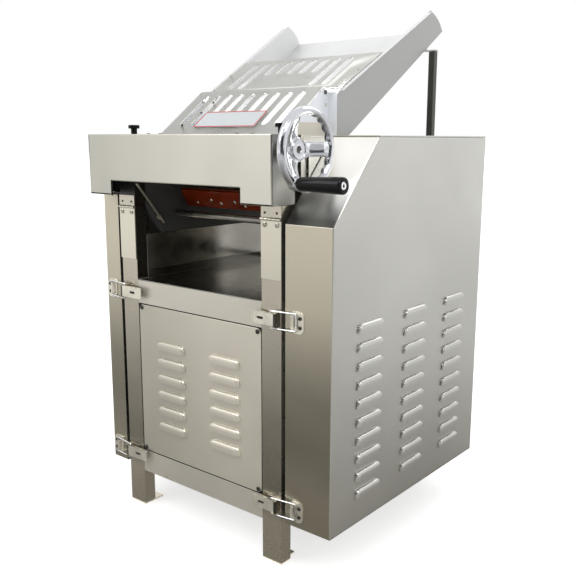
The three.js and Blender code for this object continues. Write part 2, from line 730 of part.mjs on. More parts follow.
function makeBlock(side) {
  const inner = openHalf + cheekThick + gap;
  const x = span(side, inner, inner + block.thick);
  const y = [frontRollerAt - block.half, frontRollerAt + block.half];
  const body = slab(x, y, [rollerHeight - block.half, rollerHeight + block.half]);
  const screw = rod("y", block.screwRadius, [block.screwFront, y[0] + sheet],
    [sides[side] * blockAt, rollerHeight]);
  const bore = rod("x", shaftRadius + runningGap, [x[0] - overrun, x[1] + overrun],
    [frontRollerAt, rollerHeight], fine);
  return cut(join(body, screw), bore);
}

function makeGapNut(side) {
  const radius = wheelAxis.z - rollerHeight - worm.radius - gap;
  const y = [wheelAxis.y - gapNut.thick / 2, wheelAxis.y + gapNut.thick / 2];
  const { teeth, toothDeep, toothShare } = gapNut;
  const outline = gearOutline(teeth, radius - toothDeep, toothDeep, 0, toothShare);
  const wheel = plateAlongY(outline, y).translate(sides[side] * blockAt, 0, rollerHeight);
  const bore = rod("y", gapNut.bore, [y[0] - overrun, y[1] + overrun],
    [sides[side] * blockAt, rollerHeight], fine);
  return cut(wheel, bore);
}

// Gear outline about the origin: flat-topped teeth, the first one centred on the first axis
function gearOutline(teeth, pitchRadius, addendum, dedendum, toothShare, startTurn = 0) {
  const points = [];
  const { tipShare, rootShare } = toothForm;
  for (let i = 0; i < teeth; i += 1) {
    const centre = ((i + startTurn) * 2 * Math.PI) / teeth;
    const half = (toothShare * Math.PI) / teeth;
    const root = pitchRadius - dedendum;
    const tip = pitchRadius + addendum;
    const corners = [[root, -rootShare], [tip, -tipShare], [tip, tipShare], [root, rootShare]];
    for (const [radius, share] of corners) {
      points.push([radius * Math.cos(centre + share * half), radius * Math.sin(centre + share * half)]);
    }
  }
  return points;
}

function counterAt() {
  const distance = (driveTooth.module * (pinionTeeth + driveTeeth)) / 2;
  const angle = THREE.MathUtils.degToRad(meshAngle);
  return [rearRollerAt + distance * Math.cos(angle), rollerHeight + distance * Math.sin(angle)];
}

// The driven pulley fills the height between the countershaft and the casing's top
function drivenRadius() {
  return casingTop - sheet - pulley.clearance - sheet - counterAt()[1];
}

// A gear whose first tooth is turned to a start angle in the (y, z) plane, with a shaft hole
function gearAt(y, z, x, outline, startAngle, boreRadius) {
  const blank = plateAlongX(outline, x);
  blank.rotateX(startAngle).translate(0, y, z);
  return cut(blank, rod("x", boreRadius, [x[0] - overrun, x[1] + overrun], [y, z], fine));
}

function makeDriveGears() {
  const { module, addendum, dedendum, share } = driveTooth;
  const angle = THREE.MathUtils.degToRad(meshAngle);
  const x = [driveFace.from, driveFace.from + driveFace.wide];
  const wheel = gearOutline(driveTeeth, (module * driveTeeth) / 2, addendum, dedendum, share);
  const bore = shaftRadius + shaftFit;
  add("drive_gear", gearAt(rearRollerAt, rollerHeight, x, wheel, angle, bore), "castIron");
  const [y, z] = counterAt();
  const pitchRadius = (module * pinionTeeth) / 2;
  const turned = gearOutline(pinionTeeth, pitchRadius, addendum, dedendum, share, toothForm.halfPitch);
  const pinion = plateAlongX(turned, x);
  pinion.rotateX(angle + Math.PI).translate(0, y, z);
  const shaftFrom = openHalf + cheekThick / 2 + gap;
  const shaft = rod("x", counterShaft.radius, [shaftFrom, pulley.from + pulley.wide + gap], [y, z]);
  add("countershaft", join(pinion, shaft, grooved(y, z, drivenRadius())), "steel");
}

// A two-flange pulley with a flat-bottomed groove for the belt
function grooved(y, z, radius) {
  const { from, wide } = pulley;
  const side = (wide - belt.wide) / 2 - gap;
  const outer = radius + sheet;
  const grooveRadius = radius - belt.thick + sheet;
  const profile = [
    [0, from], [outer, from], [outer, from + side], [grooveRadius, from + side],
    [grooveRadius, from + wide - side], [outer, from + wide - side], [outer, from + wide], [0, from + wide],
  ].map(([r, x]) => new THREE.Vector2(r, x));
  const lathe = new THREE.LatheGeometry(profile, fine);
  lathe.rotateZ(-Math.PI / 2);
  return lathe.translate(0, y, z);
}

// Belt outline round two circles in (y, z): the outer loop with the inner one as its hole
function beltLoop(a, b, extra) {
  const [ay, az, aRadius] = a;
  const [by, bz, bRadius] = b;
  const angle = Math.atan2(bz - az, by - ay);
  const lean = Math.asin((bRadius - aRadius) / Math.hypot(by - ay, bz - az));
  const points = [];
  const from = angle - Math.PI / 2 - lean;
  for (let i = 0; i <= belt.steps; i += 1) {
    const turn = from + ((Math.PI + 2 * lean) * i) / belt.steps;
    points.push([by + (bRadius + extra) * Math.cos(turn), bz + (bRadius + extra) * Math.sin(turn)]);
  }
  for (let i = 0; i <= belt.steps; i += 1) {
    const turn = from + Math.PI + 2 * lean + ((Math.PI - 2 * lean) * i) / belt.steps;
    points.push([ay + (aRadius + extra) * Math.cos(turn), az + (aRadius + extra) * Math.sin(turn)]);
  }
  return points;
}

function makeBelt() {
  const [y, z] = counterAt();
  const seat = sheet - belt.thick + belt.seatGap;
  const a = [motor.at, motor.height, pulley.motorRadius + seat];
  const b = [y, z, drivenRadius() + seat];
  const middle = pulley.from + pulley.wide / 2;
  const x = [middle - belt.wide / 2, middle + belt.wide / 2];
  const wider = [x[0] - overrun, x[1] + overrun];
  return cut(plateAlongX(beltLoop(a, b, belt.thick), x), plateAlongX(beltLoop(a, b, 0), wider));
}

function makeLinkGears() {
  const pitch = (rearRollerAt - frontRollerAt) / 2;
  const x = span("left", linkFace.from, linkFace.from + linkFace.wide);
  const { addendum, dedendum, share } = linkTooth;
  const rear = gearOutline(linkTeeth, pitch, addendum, dedendum, share);
  const front = gearOutline(linkTeeth, pitch, addendum, dedendum, share, toothForm.halfPitch);
  const bore = shaftRadius + shaftFit;
  add("link_gear_rear", gearAt(rearRollerAt, rollerHeight, x, rear, Math.PI, bore), "castIron");
  add("link_gear_front", gearAt(frontRollerAt, rollerHeight, x, front, 0, bore), "castIron");
}

function makeRollers() {
  for (const side of Object.keys(sides)) {
    add(`cheek_${side}`, makeCheek(side), "castIron");
    add(`bearing_block_${side}`, makeBlock(side), "steel");
    add(`gap_nut_${side}`, makeGapNut(side), "castIron");
  }
  const linkEnd = -linkFace.from - linkFace.wide - gap;
  const driveEnd = driveFace.from + driveFace.wide + gap;
  const blockEnd = openHalf + cheekThick + gap + block.thick;
  add("roller_rear", makeRoller(rearRollerAt, [linkEnd, driveEnd]), "mirror");
  add("roller_front", makeRoller(frontRollerAt, [linkEnd, blockEnd]), "mirror");
  makeDriveGears();
  makeLinkGears();
}

// Motor and its pulley

function makeMotor() {
  const x = [motor.right - motor.long, motor.right];
  const body = rod("x", motor.radius, x, [motor.at, motor.height], fine);
  const floorTop = lowerRailBottom + railTall + gap;
  const footX = [(x[0] + x[1] - motorFoot.long) / 2, (x[0] + x[1] + motorFoot.long) / 2];
  const foot = slab(footX, [motor.at - motorFoot.wide / 2, motor.at + motorFoot.wide / 2],
    [floorTop, floorTop + motorFoot.thick]);
  const web = slab(footX, [motor.at - motorFoot.web, motor.at + motorFoot.web], [floorTop, motor.height]);
  return join(body, foot, web);
}

function makeMotorPulley() {
  const shaft = rod("x", motor.shaft, [motor.right + gap, pulley.from + pulley.wide + gap],
    [motor.at, motor.height]);
  return join(grooved(motor.at, motor.height, pulley.motorRadius), shaft);
}

// Handwheel

// Rim ring with finger scallops on its inner side
function makeRim() {
  const ring = new THREE.TorusGeometry(rim.centreRadius, rim.tube, coarse, rim.steps);
  const place = ring.attributes.position;
  for (let i = 0; i < place.count; i += 1) {
    const [x, y, z] = [place.getX(i), place.getY(i), place.getZ(i)];
    const radius = Math.hypot(x, y);
    const inwardShare = Math.max(0, (rim.centreRadius - radius) / rim.tube);
    const wave = 1 - Math.cos(Math.atan2(y, x) * rim.scallops);
    const scale = (radius + inwardShare * rim.scallop * wave) / radius;
    place.setXYZ(i, x * scale, y * scale, z);
  }
  ring.rotateZ(Math.PI / 2).rotateY(Math.PI / 2);
  return ring.translate(rim.plane, wheelAxis.y, wheelAxis.z);
}

// One spoke rising from the hub to the rim plane, turned about the wheel's axis
function makeSpoke(turn) {
  const inner = spoke.from;
  const outline = [
    [-spoke.wideHub / 2, inner], [spoke.wideHub / 2, inner],
    [spoke.wideRim / 2, rim.centreRadius], [-spoke.wideRim / 2, rim.centreRadius],
  ];
  const plate = plateAlongX(outline, [-spoke.thick / 2, spoke.thick / 2]);
  const place = plate.attributes.position;
  const hubX = hub.outer - spoke.thick;
  for (let i = 0; i < place.count; i += 1) {
    const alongShare = (place.getZ(i) - inner) / (rim.centreRadius - inner);
    place.setX(i, place.getX(i) + hubX + (rim.plane - hubX) * alongShare);
  }
  return plate.rotateX(turn).translate(0, wheelAxis.y, wheelAxis.z);
}

function gripCentre() {
  const { reach } = grip;
  const turn = THREE.MathUtils.degToRad(grip.turn);
  return [wheelAxis.y + reach * Math.cos(turn), wheelAxis.z + reach * Math.sin(turn)];
}

function makeHandwheel() {
  const centre = [wheelAxis.y, wheelAxis.z];
  const pieces = [makeRim(), rod("x", hub.radius, [hub.inner, hub.outer], centre, fine)];
  for (let i = 0; i < spoke.count; i += 1) {
    pieces.push(makeSpoke(-Math.PI / 2 + (i * 2 * Math.PI) / spoke.count));
  }
  const pinEnd = grip.from + grip.long;
  const headFrom = pinEnd - grip.headDeep + gap;
  pieces.push(rod("x", grip.pin, [rim.plane, pinEnd], gripCentre()));
  pieces.push(rod("x", grip.headRadius - gap, [headFrom, pinEnd], gripCentre(), medium));
  return cut(join(...pieces), rod("x", hub.bore, [hub.inner - overrun, hub.outer + overrun], centre, fine));
}

function makeGrip() {
  const { radius, long, bore, headRadius, headDeep, bevel, taper } = grip;
  const profile = [
    [bore, 0], [radius - bevel, 0], [radius, taper], [radius, long - bevel], [radius - bevel, long],
    [headRadius, long], [headRadius, long - headDeep], [bore, long - headDeep], [bore, 0],
  ].map(([r, x]) => new THREE.Vector2(r, x));
  const lathe = new THREE.LatheGeometry(profile, medium + coarse);
  const [y, z] = gripCentre();
  return lathe.rotateZ(-Math.PI / 2).translate(grip.from, y, z);
}

function makeShaft() {
  const centre = [wheelAxis.y, wheelAxis.z];
  const pieces = [rod("x", wheelShaft.radius, [wheelShaft.left, wheelShaft.end], centre)];
  for (const sign of Object.values(sides)) {
    for (let i = 0; i < worm.rings; i += 1) {
      const start = sign * (blockAt + gap) - worm.long / 2 + (i * worm.long) / worm.rings;
      pieces.push(rod("x", worm.radius, [start, start + worm.long / worm.rings / 2], centre));
    }
  }
  return join(...pieces);
}

function makeHandwheelGroup() {
  add("handwheel", makeHandwheel(), "chrome");
  add("wheel_grip", makeGrip(), "black");
  add("adjusting_shaft", makeShaft(), "steel");
}

function makeKnob(side) {
  const base = hood.top + gap;
  const at = [sides[side] * knob.x, knob.y];
  const stem = rod("z", knob.stem, [base, base + knob.stemTall], at);
  const capZ = [base + knob.stemTall - sheet, base + knob.stemTall + knob.capTall];
  const cap = rod("z", knob.cap, capZ, at, fine);
  const screw = rod("z", knob.screw, [hood.top - sheet - lugThick - overrun, base + sheet], at, coarse);
  return join(stem, cap, screw);
}

// Guards

function guardSlope() {
  const rise = guard.topHeight - guardFoot;
  const run = guard.top - guard.foot;
  return { length: Math.hypot(rise, run), angle: Math.atan2(rise, run) };
}

// A flat pattern in (x, along the slope) laid on a slope that starts at a point in (y, z)
function layOnSlope(outline, holes, thick, angle, startY, startZ) {
  const shape = shapeOf(outline);
  for (const hole of holes) shape.holes.push(shapeOf([...hole].reverse()));
  const plate = new THREE.ExtrudeGeometry(shape, { depth: thick, bevelEnabled: false });
  return plate.rotateX(angle).translate(0, startY, startZ);
}

function slotRow(count, pitch, lowHigh) {
  const made = [];
  for (let i = 0; i < count; i += 1) {
    const x = (i - (count - 1) / 2) * pitch;
    const [low, high] = lowHigh(i);
    made.push(slotOutline(x, low, high, guard.slotWide));
  }
  return made;
}

function makeFrontGuard() {
  const { length, angle } = guardSlope();
  const outline = [[-guard.half, 0], [guard.half, 0], [guard.half, length], [-guard.half, length]];
  const slots = slotRow(guard.slots, slotPitch, () => slotShares.front.map((share) => share * length));
  const plate = layOnSlope(outline, slots, sheet, angle, guard.foot, guardFoot);
  const { y, z } = pivotPoint();
  const pieces = [plate];
  for (const side of Object.keys(sides)) {
    const earX = span(side, guardPivot.earFrom, guard.half - sheet - gap);
    const ear = rod("x", guardPivot.drop - sheet, earX, [y, z], medium);
    const neck = slab(earX, [y - guardPivot.drop, y - sheet], [z, z + guardPivot.drop / 2]);
    const pinX = span(side, guardPivot.earFrom, guard.half + sheet);
    pieces.push(ear, neck, rod("x", guardPivot.radius, pinX, [y, z], coarse));
  }
  return join(...pieces);
}

function pivotPoint() {
  const { angle } = guardSlope();
  const reach = guardPivot.drop;
  return {
    y: guard.top - sheet + reach * Math.sin(angle) * guardPivot.setShare,
    z: guard.topHeight - reach * Math.cos(angle),
  };
}

// Fixed side plate under the sloping edge of the front guard, with a flange against the tray wall
function makeGuardSide(side) {
  const { angle } = guardSlope();
  const lower = gap / Math.cos(angle) + gap;
  const { y, z } = pivotPoint();
  const back = tray.foot - gap;
  const { toe, backDrop, crestDrop } = guardSide;
  const outline = [
    [guard.foot + toe, guardFoot], [back, guardFoot], [back, guard.topHeight - backDrop],
    [guard.top + sheet, guard.topHeight - lower - sheet],
    [guard.top - sheet, guard.topHeight - lower - crestDrop],
    [guard.foot + toe, guardFoot + toe * Math.tan(angle) - lower],
  ];
  const plate = plateAlongX(outline, span(side, guard.half - sheet, guard.half));
  const flangeX = span(side, guard.half - sheet, tray.half[side]);
  const flange = slab(flangeX, [back - sheet, back], [guardFoot, guard.topHeight - backDrop]);
  const through = span(side, guard.half - overrun, guard.half + overrun);
  const hole = rod("x", guardPivot.hole, through, [y, z], medium);
  return cut(join(plate, flange), hole);
}

// Feed tray: sloping floor between two side walls that spread towards the top

function traySpread(side) {
  return Math.atan2(tray.topHalf - tray.half[side], tray.endTop[0] - tray.foot);
}

// How far out a side wall's outer face stands at a place along the tray
function trayHalfAt(side, y) {
  return tray.half[side] + (y - tray.foot) * Math.tan(traySpread(side));
}

function trayFloorSlope() {
  return (tray.endLow[1] - guardFoot) / (tray.endLow[0] - tray.floorFrom);
}

function trayWallOutline() {
  const points = [[tray.foot, guardFoot], [tray.floorFrom, guardFoot]];
  const ends = [tray.endLow, tray.endBulge, tray.endTop].map((point) => new THREE.Vector2(...point));
  const curve = new THREE.QuadraticBezierCurve(...ends);
  for (const point of curve.getPoints(tray.endSteps)) points.push([point.x, point.y]);
  points.push([tray.foot + tray.lip, tray.lowTop], [tray.foot, tray.lowTop - tray.lip]);
  return points;
}

// The wall's top edge has a lip folded outwards
function makeTrayWall(side) {
  const half = tray.half[side];
  const wall = plateAlongX(trayWallOutline(), span(side, half - tray.wall, half));
  const [topY, topZ] = tray.endTop;
  const from = [tray.foot + tray.lip, tray.lowTop];
  const length = Math.hypot(topY - from[0], topZ - from[1]) - tray.lipStop;
  const angle = Math.atan2(topZ - from[1], topY - from[0]);
  const x = span(side, half - tray.wall, half + tray.lip);
  const outline = [[x[0], 0], [x[1], 0], [x[1], length], [x[0], length]];
  const lip = layOnSlope(outline, [], sheet, angle,
    from[0] + sheet * Math.sin(angle), from[1] - sheet * Math.cos(angle));
  const both = join(wall, lip);
  const turn = -sides[side] * traySpread(side);
  both.translate(-sides[side] * half, -tray.foot, 0).rotateZ(turn);
  return both.translate(sides[side] * half, tray.foot, 0);
}

function makeTray() {
  const [lowY, lowZ] = tray.endLow;
  const run = lowY - tray.floorFrom;
  const rise = lowZ - guardFoot;
  const length = Math.hypot(run, rise);
  const edge = (side, y) => sides[side] * (trayHalfAt(side, y) - sheet / 2);
  const outline = [
    [edge("left", tray.floorFrom), 0], [edge("right", tray.floorFrom), 0],
    [edge("right", lowY), length - sheet], [edge("left", lowY), length - sheet],
  ];
  const floor = layOnSlope(outline, [], tray.wall, Math.atan2(rise, run), tray.floorFrom, guardFoot);
  const pieces = [floor];
  for (const side of Object.keys(sides)) pieces.push(makeTrayWall(side), makeTrayBracket(side));
  return join(...pieces);
}

// Angle bracket under the floor, with a seat on top of the support post
function makeTrayBracket(side) {
  const wallAt = trayHalfAt(side, trayPost.at);
  const y = [trayPost.at - trayPost.size / 2, trayPost.at + trayPost.size / 2];
  const z = trayPost.height + gap;
  const floorAt = y.map((place) => guardFoot + (place - tray.floorFrom) * trayFloorSlope() + sheet / 2);
  const outline = [[y[0], z], [y[1], z], [y[1], floorAt[1]], [y[0], floorAt[0]]];
  const inner = wallAt - trayPost.size;
  const upright = plateAlongX(outline, span(side, inner, inner + bracketThick));
  const seat = slab(span(side, inner, wallAt + trayPost.size + sheet), y, [z, z + bracketThick]);
  return join(upright, seat);
}

function makeTrayPost(side) {
  const wallAt = trayHalfAt(side, trayPost.at);
  const y = [trayPost.at - trayPost.size / 2, trayPost.at + trayPost.size / 2];
  const x = span(side, wallAt + sheet / 2, wallAt + sheet / 2 + trayPost.size);
  return slab(x, y, [guardFoot, trayPost.height]);
}

function makeTrayGuard() {
  const start = [tray.foot + tray.lip, tray.lowTop];
  const angle = Math.atan2(tray.endTop[1] - start[1], tray.endTop[0] - start[0]);
  const from = (trayGuard.from - start[0]) / Math.cos(angle);
  const to = (trayGuard.to - start[0]) / Math.cos(angle);
  const edge = (side, y) => sides[side] * (trayHalfAt(side, y) - sheet);
  const outline = [
    [edge("left", trayGuard.from), from], [edge("right", trayGuard.from), from],
    [edge("right", trayGuard.to), to], [edge("left", trayGuard.to), to],
  ];
  const { slotCount, outerLong } = trayGuard;
  const slots = slotRow(slotCount, slotPitch, (i) => {
    const long = i < outerLong || i >= slotCount - outerLong;
    return slotShares[long ? "long" : "short"].map((share) => from + share * (to - from));
  });
  return layOnSlope(outline, slots, sheet, angle, start[0], start[1] + gap / Math.cos(angle));
}

function makeLabel() {
  const { length, angle } = guardSlope();
  const middle = length * label.middleShare;
  const outline = [
    [-label.wide / 2, middle - label.tall / 2], [label.wide / 2, middle - label.tall / 2],
    [label.wide / 2, middle + label.tall / 2], [-label.wide / 2, middle + label.tall / 2],
  ].map(([x, up]) => [x + label.shift, up]);
  const off = sheet + gap;
  return layOnSlope(outline, [], label.thick, angle,
    guard.foot - off * Math.sin(angle), guardFoot + off * Math.cos(angle));
}

function makeGuards() {
  add("front_guard", makeFrontGuard(), "cool");
  add("guard_label", makeLabel(), "white");
  for (const side of Object.keys(sides)) {
    add(`guard_side_${side}`, makeGuardSide(side), "cool");
    add(`tray_post_${side}`, makeTrayPost(side), "darkPaint");
  }
  add("feed_tray", makeTray(), "cool");
  add("tray_guard", makeTrayGuard(), "cool");
}

// Toggle latches: lever with pivot barrel, and a wire bail that reaches round the strike's hook

function makeLever(side, height) {
  const { from, pivot, thick, stand, barrel } = lever;
  const z = [height - leverHalf, height + leverHalf];
  const y = [-stand - thick, -stand];
  const plate = slab(span(side, from, pivot), y, z);
  const tip = slab(span(side, from, from + thick), [y[0] - thick, y[1]], z);
  const shoulder = slab(span(side, lever.shoulderFrom, pivot), [y[0], y[1] + thick], z);
  return join(plate, tip, shoulder, rod("z", barrel, z, [sides[side] * pivot, -stand], medium));
}

function makeBail(side, height) {
  const sign = sides[side];
  const y = -lever.stand - lever.thick / 2;
  const outer = -strike.hookTall / 2;
  const route = [
    [bail.inner, y, leverHalf + gap], [bail.inner, y, bail.half], [bail.hook - bail.wire, outer, bail.half],
    [bail.hook, outer, bail.half - bail.wire], [bail.hook, outer, bail.wire - bail.half],
    [bail.hook - bail.wire, outer, -bail.half], [bail.inner, y, -bail.half],
    [bail.inner, y, -leverHalf - gap],
  ].map(([x, across, z]) => [sign * x, across, height + z]);
  return wire(route, bail.wire, bail.facets, bail.steps);
}

function makeLatches() {
  for (const [level, height] of Object.entries(latch)) {
    for (const side of Object.keys(sides)) {
      add(`latch_lever_${level}_${side}`, makeLever(side, height), "chrome");
      add(`latch_bail_${level}_${side}`, makeBail(side, height), "chrome");
    }
  }
}

// Hinged flaps that hang on the posts
function makeFlap(side) {
  const x = span(side, openHalf + flap.offset, openHalf + flap.offset + flap.wide);
  const y = [-flap.thick - gap, -gap];
  const plate = slab(x, y, [flap.bottom, flap.pivot]);
  const knuckle = rod("x", flap.knuckle, x, [-flap.knuckle - gap, flap.pivot], coarse);
  return join(plate, knuckle);
}

function makeGland() {
  const { x, z, radius, flange, flangeThick, facets, inside, long, bore } = gland;
  const face = frameDeep + gap;
  const body = rod("y", radius, [frameDeep - inside, face + long], [x, z], medium);
  const nut = rod("y", flange, [face, face + flangeThick], [x, z], facets);
  return cut(join(body, nut), rod("y", bore, [face - overrun, face + long + overrun], [x, z], medium));
}

function makeSwitch() {
  const { x, z, radius, thick, barWide, barTall } = powerSwitch;
  const face = frameDeep + sheet + gap;
  const disc = rod("y", radius, [face, face + thick], [x, z], medium + coarse);
  const barX = [x - barWide / 2, x + barWide / 2];
  const bar = slab(barX, [face, face + thick + barTall], [z - radius, z + radius]);
  return join(disc, bar);
}

makeFrame();
add("front_panel", makeFrontPanel(), "front");
add("rear_panel", makeRearPanel(), "cool");
for (const side of Object.keys(sides)) {
  add(`casing_${side}`, makeCasing(side), "cool");
  add(`flap_${side}`, makeFlap(side), "front");
  add(`thumb_knob_${side}`, makeKnob(side), "black");
}
add("deck", makeDeck(), "cool");
add("hood", makeHood(), "front");
makeChamber();
makeRollers();
add("motor", makeMotor(), "motorPaint");
add("motor_pulley", makeMotorPulley(), "steel");
add("drive_belt", makeBelt(), "rubber");
makeHandwheelGroup();
makeGuards();
makeLatches();
add("cable_gland", makeGland(), "black");
add("power_switch", makeSwitch(), "black");

// The origin is the middle of the base
const limits = new THREE.Box3().setFromObject(machine, true);
const middle = limits.getCenter(new THREE.Vector3());
machine.position.set(-middle.x, -middle.y, -limits.min.z);

const press = new THREE.Group();
press.add(machine);
export default press;
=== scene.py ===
"""Looks of a roller dough press: finishes for every CAD node, and detailed pieces where the solids are plain.

Places are in millimetres in the machine's own axes: x = 0 at the middle of the front rails, y = 0 on the
front faces of the posts, z = 0 on the floor. at() turns them into the frame's metres.
"""
from math import atan2, copysign, cos, dist, pi, radians, sin, tan

import bmesh
import bpy
from mathutils import Matrix, Vector
from mathutils.geometry import tessellate_polygon


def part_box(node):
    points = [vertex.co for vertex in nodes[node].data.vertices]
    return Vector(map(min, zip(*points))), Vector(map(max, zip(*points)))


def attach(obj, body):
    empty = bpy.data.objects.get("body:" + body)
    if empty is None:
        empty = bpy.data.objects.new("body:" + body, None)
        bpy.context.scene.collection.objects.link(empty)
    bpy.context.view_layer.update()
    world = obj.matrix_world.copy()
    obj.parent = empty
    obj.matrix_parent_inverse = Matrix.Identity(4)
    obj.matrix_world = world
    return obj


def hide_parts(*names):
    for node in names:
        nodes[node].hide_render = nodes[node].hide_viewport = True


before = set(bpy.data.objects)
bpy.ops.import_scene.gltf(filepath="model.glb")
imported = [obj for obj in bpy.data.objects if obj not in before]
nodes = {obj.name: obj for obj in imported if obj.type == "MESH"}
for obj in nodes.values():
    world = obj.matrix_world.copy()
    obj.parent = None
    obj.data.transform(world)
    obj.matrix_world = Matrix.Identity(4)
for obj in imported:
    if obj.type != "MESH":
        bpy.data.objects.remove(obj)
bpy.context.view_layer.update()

MM = 0.001
SHEET = 1.5
GAP = 0.3
SIDES = {"left": -1, "right": 1}
LEVELS = ("upper", "lower")

rail_low, rail_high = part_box("rail_front_upper")
ORIGIN = Vector(((rail_low.x + rail_high.x) / 2, rail_low.y, 0))


def at(x, y, z):
    """A place in the machine's millimetres, in the frame's metres."""
    return ORIGIN + Vector((x, y, z)) * MM


def limits(node):
    """The lowest and highest corner of a CAD node in the machine's millimetres."""
    return [(corner - ORIGIN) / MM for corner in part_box(node)]


# Sizes of the machine that several pieces share, read from the frame where a node gives them
LOUVRE = {"long": 90, "tall": 18.5, "drop": 11.5, "proud": 8, "pitch": 37.7, "end": 14}
OPEN_HALF = limits("rail_front_upper")[1].x + GAP
casing_low, casing_high = limits("casing_right")
CASING_INNER, CASING_BOTTOM, CASING_TOP = casing_low.x, casing_low.z, casing_high.z
CASING_OUTER = {side: abs(limits(f"casing_{side}")[side == "right"].x) - LOUVRE["proud"] for side in SIDES}
FRAME_DEEP = casing_high.y
SLOPE = 160 / 142.5
SLOPE_FOOT = {"left": (22.3, 734.7), "right": (0, CASING_TOP - 160)}
HOOD_LOW, HOOD_HIGH = limits("hood")
HOOD_BACK, HOOD_BOTTOM, CHAMBER_BOTTOM = 22, 733, 548
WHEEL_AXIS = (-11.5, 837)
GRIP_REACH, GRIP_TURN = 67, radians(240)
GRIP_AXIS = (
    WHEEL_AXIS[0] + GRIP_REACH * cos(GRIP_TURN), WHEEL_AXIS[1] + GRIP_REACH * sin(GRIP_TURN))

# The slopes of the two guards: foot and top in (y, z); and the axis that the front guard turns about
GUARD_SLOPE = ((72, 863.1), (204, 961))
TRAY_SLOPE = ((231, 955), (566, 1150))
GUARD_PIVOT = (208.7, 950.56)


# Camera: the photograph's place, aim and lens, as solved from the frame, casings and hood
CAMERA_AT = (1158.8, -1102.5, 856.1)
CAMERA_YAW, CAMERA_PITCH, CAMERA_ROLL = 39.440, 11.153, 0.125
FOCAL_PX, FRAME_PX, MIDDLE_DROP_PX = 770.7, 576, 2.69
SENSOR = 36.0


def make_camera():
    yaw, pitch, roll = (radians(a) for a in (CAMERA_YAW, CAMERA_PITCH, CAMERA_ROLL))
    data = bpy.data.cameras.new("photo_camera")
    data.sensor_width = SENSOR
    data.lens = SENSOR * FOCAL_PX / FRAME_PX
    data.shift_y = MIDDLE_DROP_PX / FRAME_PX
    data.clip_end = 100
    camera = bpy.data.objects.new("photo_camera", data)
    camera.matrix_world = (
        Matrix.Translation(at(*CAMERA_AT)) @ Matrix.Rotation(yaw, 4, "Z")
        @ Matrix.Rotation(pi / 2 - pitch, 4, "X") @ Matrix.Rotation(roll, 4, "Z"))
    bpy.context.scene.collection.objects.link(camera)
    bpy.context.scene.camera = camera


# Materials

# The colour sockets of a mix node, whose names its other kinds of socket share
MIX_FIRST, MIX_SECOND, MIX_RESULT = 6, 7, 2


class Shader:
    """A material's node tree with short calls for the nodes that the finishes share."""

    def __init__(self, name):
        self.material = bpy.data.materials.new(name)
        self.material.use_nodes = True
        self.tree = self.material.node_tree
        self.surface = self.tree.nodes["Principled BSDF"]

    def put(self, node, inputs):
        """Gives each input a constant, or links it to the output that feeds it."""
        for key, value in inputs.items():
            if isinstance(value, bpy.types.NodeSocket):
                self.tree.links.new(value, node.inputs[key])
            else:
                node.inputs[key].default_value = value

    def node(self, kind, inputs, output, **settings):
        made = self.tree.nodes.new(f"ShaderNode{kind}")
        for key, value in settings.items():
            setattr(made, key, value)
        self.put(made, inputs)
        return made.outputs[output]

    def place(self, stretch):
        """The object's own coordinates, scaled along each axis."""
        own = self.node("TexCoord", {}, "Object")
        return self.node("Mapping", {"Vector": own, "Scale": stretch}, "Vector")

    def along(self, axis):
        """How far along an axis a point of the object is, in metres."""
        return self.node("SeparateXYZ", {"Vector": self.place(even(1))}, axis)

    def facing(self, axis):
        """How far a face of the object looks along an axis, from -1 to 1."""
        normal = self.node("TexCoord", {}, "Normal")
        return self.node("SeparateXYZ", {"Vector": normal}, axis)

    def product(self, first, second):
        return self.node("Math", {0: first, 1: second}, "Value", operation="MULTIPLY")

    def beyond(self, axis, place, above=True):
        """1 past a place on an axis, given in the frame's metres, and 0 before it."""
        ends = (0, 1) if above else (1, 0)
        return self.spread(self.along(axis), *ends, place - MM / 2, place)

    def noise(self, stretch, detail=2.0, roughness=0.5):
        inputs = {"Vector": self.place(stretch), "Scale": 1.0, "Detail": detail, "Roughness": roughness}
        return self.node("TexNoise", inputs, "Fac")

    def spread(self, source, low, high, start=0.3, end=0.7):
        """A value from low to high as the source goes from start to end."""
        inputs = {"Value": source, "From Min": start, "From Max": end, "To Min": low, "To Max": high}
        return self.node("MapRange", inputs, "Result")

    def tint(self, source, dark, light, start=0.3, end=0.7):
        """A colour between two as the source goes from start to end."""
        colour = self.node("ValToRGB", {"Fac": source}, "Color")
        for stop, place, shown in zip(colour.node.color_ramp.elements, (start, end), (dark, light)):
            stop.position = place
            stop.color = (*shown, 1)
        return colour

    def mix(self, share, first, second):
        """A colour that goes from the first to the second with the share."""
        colours = [(*colour, 1) if isinstance(colour, tuple) else colour for colour in (first, second)]
        inputs = {"Factor": share, MIX_FIRST: colours[0], MIX_SECOND: colours[1]}
        return self.node("Mix", inputs, MIX_RESULT, data_type="RGBA")

    def bump(self, source, strength, distance):
        inputs = {"Height": source, "Strength": strength, "Distance": distance}
        return self.node("Bump", inputs, "Normal")

    def set(self, **inputs):
        self.put(self.surface, {key.replace("_", " "): value for key, value in inputs.items()})


def shade(colour, share):
    return tuple(channel * share for channel in colour)


def even(scale):
    return (scale, scale, scale)


# Fine relief of the finishes: strength and depth in metres
BRUSHED = (0.12, 0.0001)
PEEL = (0.08, 0.0001)
CAST_DEPTH = 0.00008


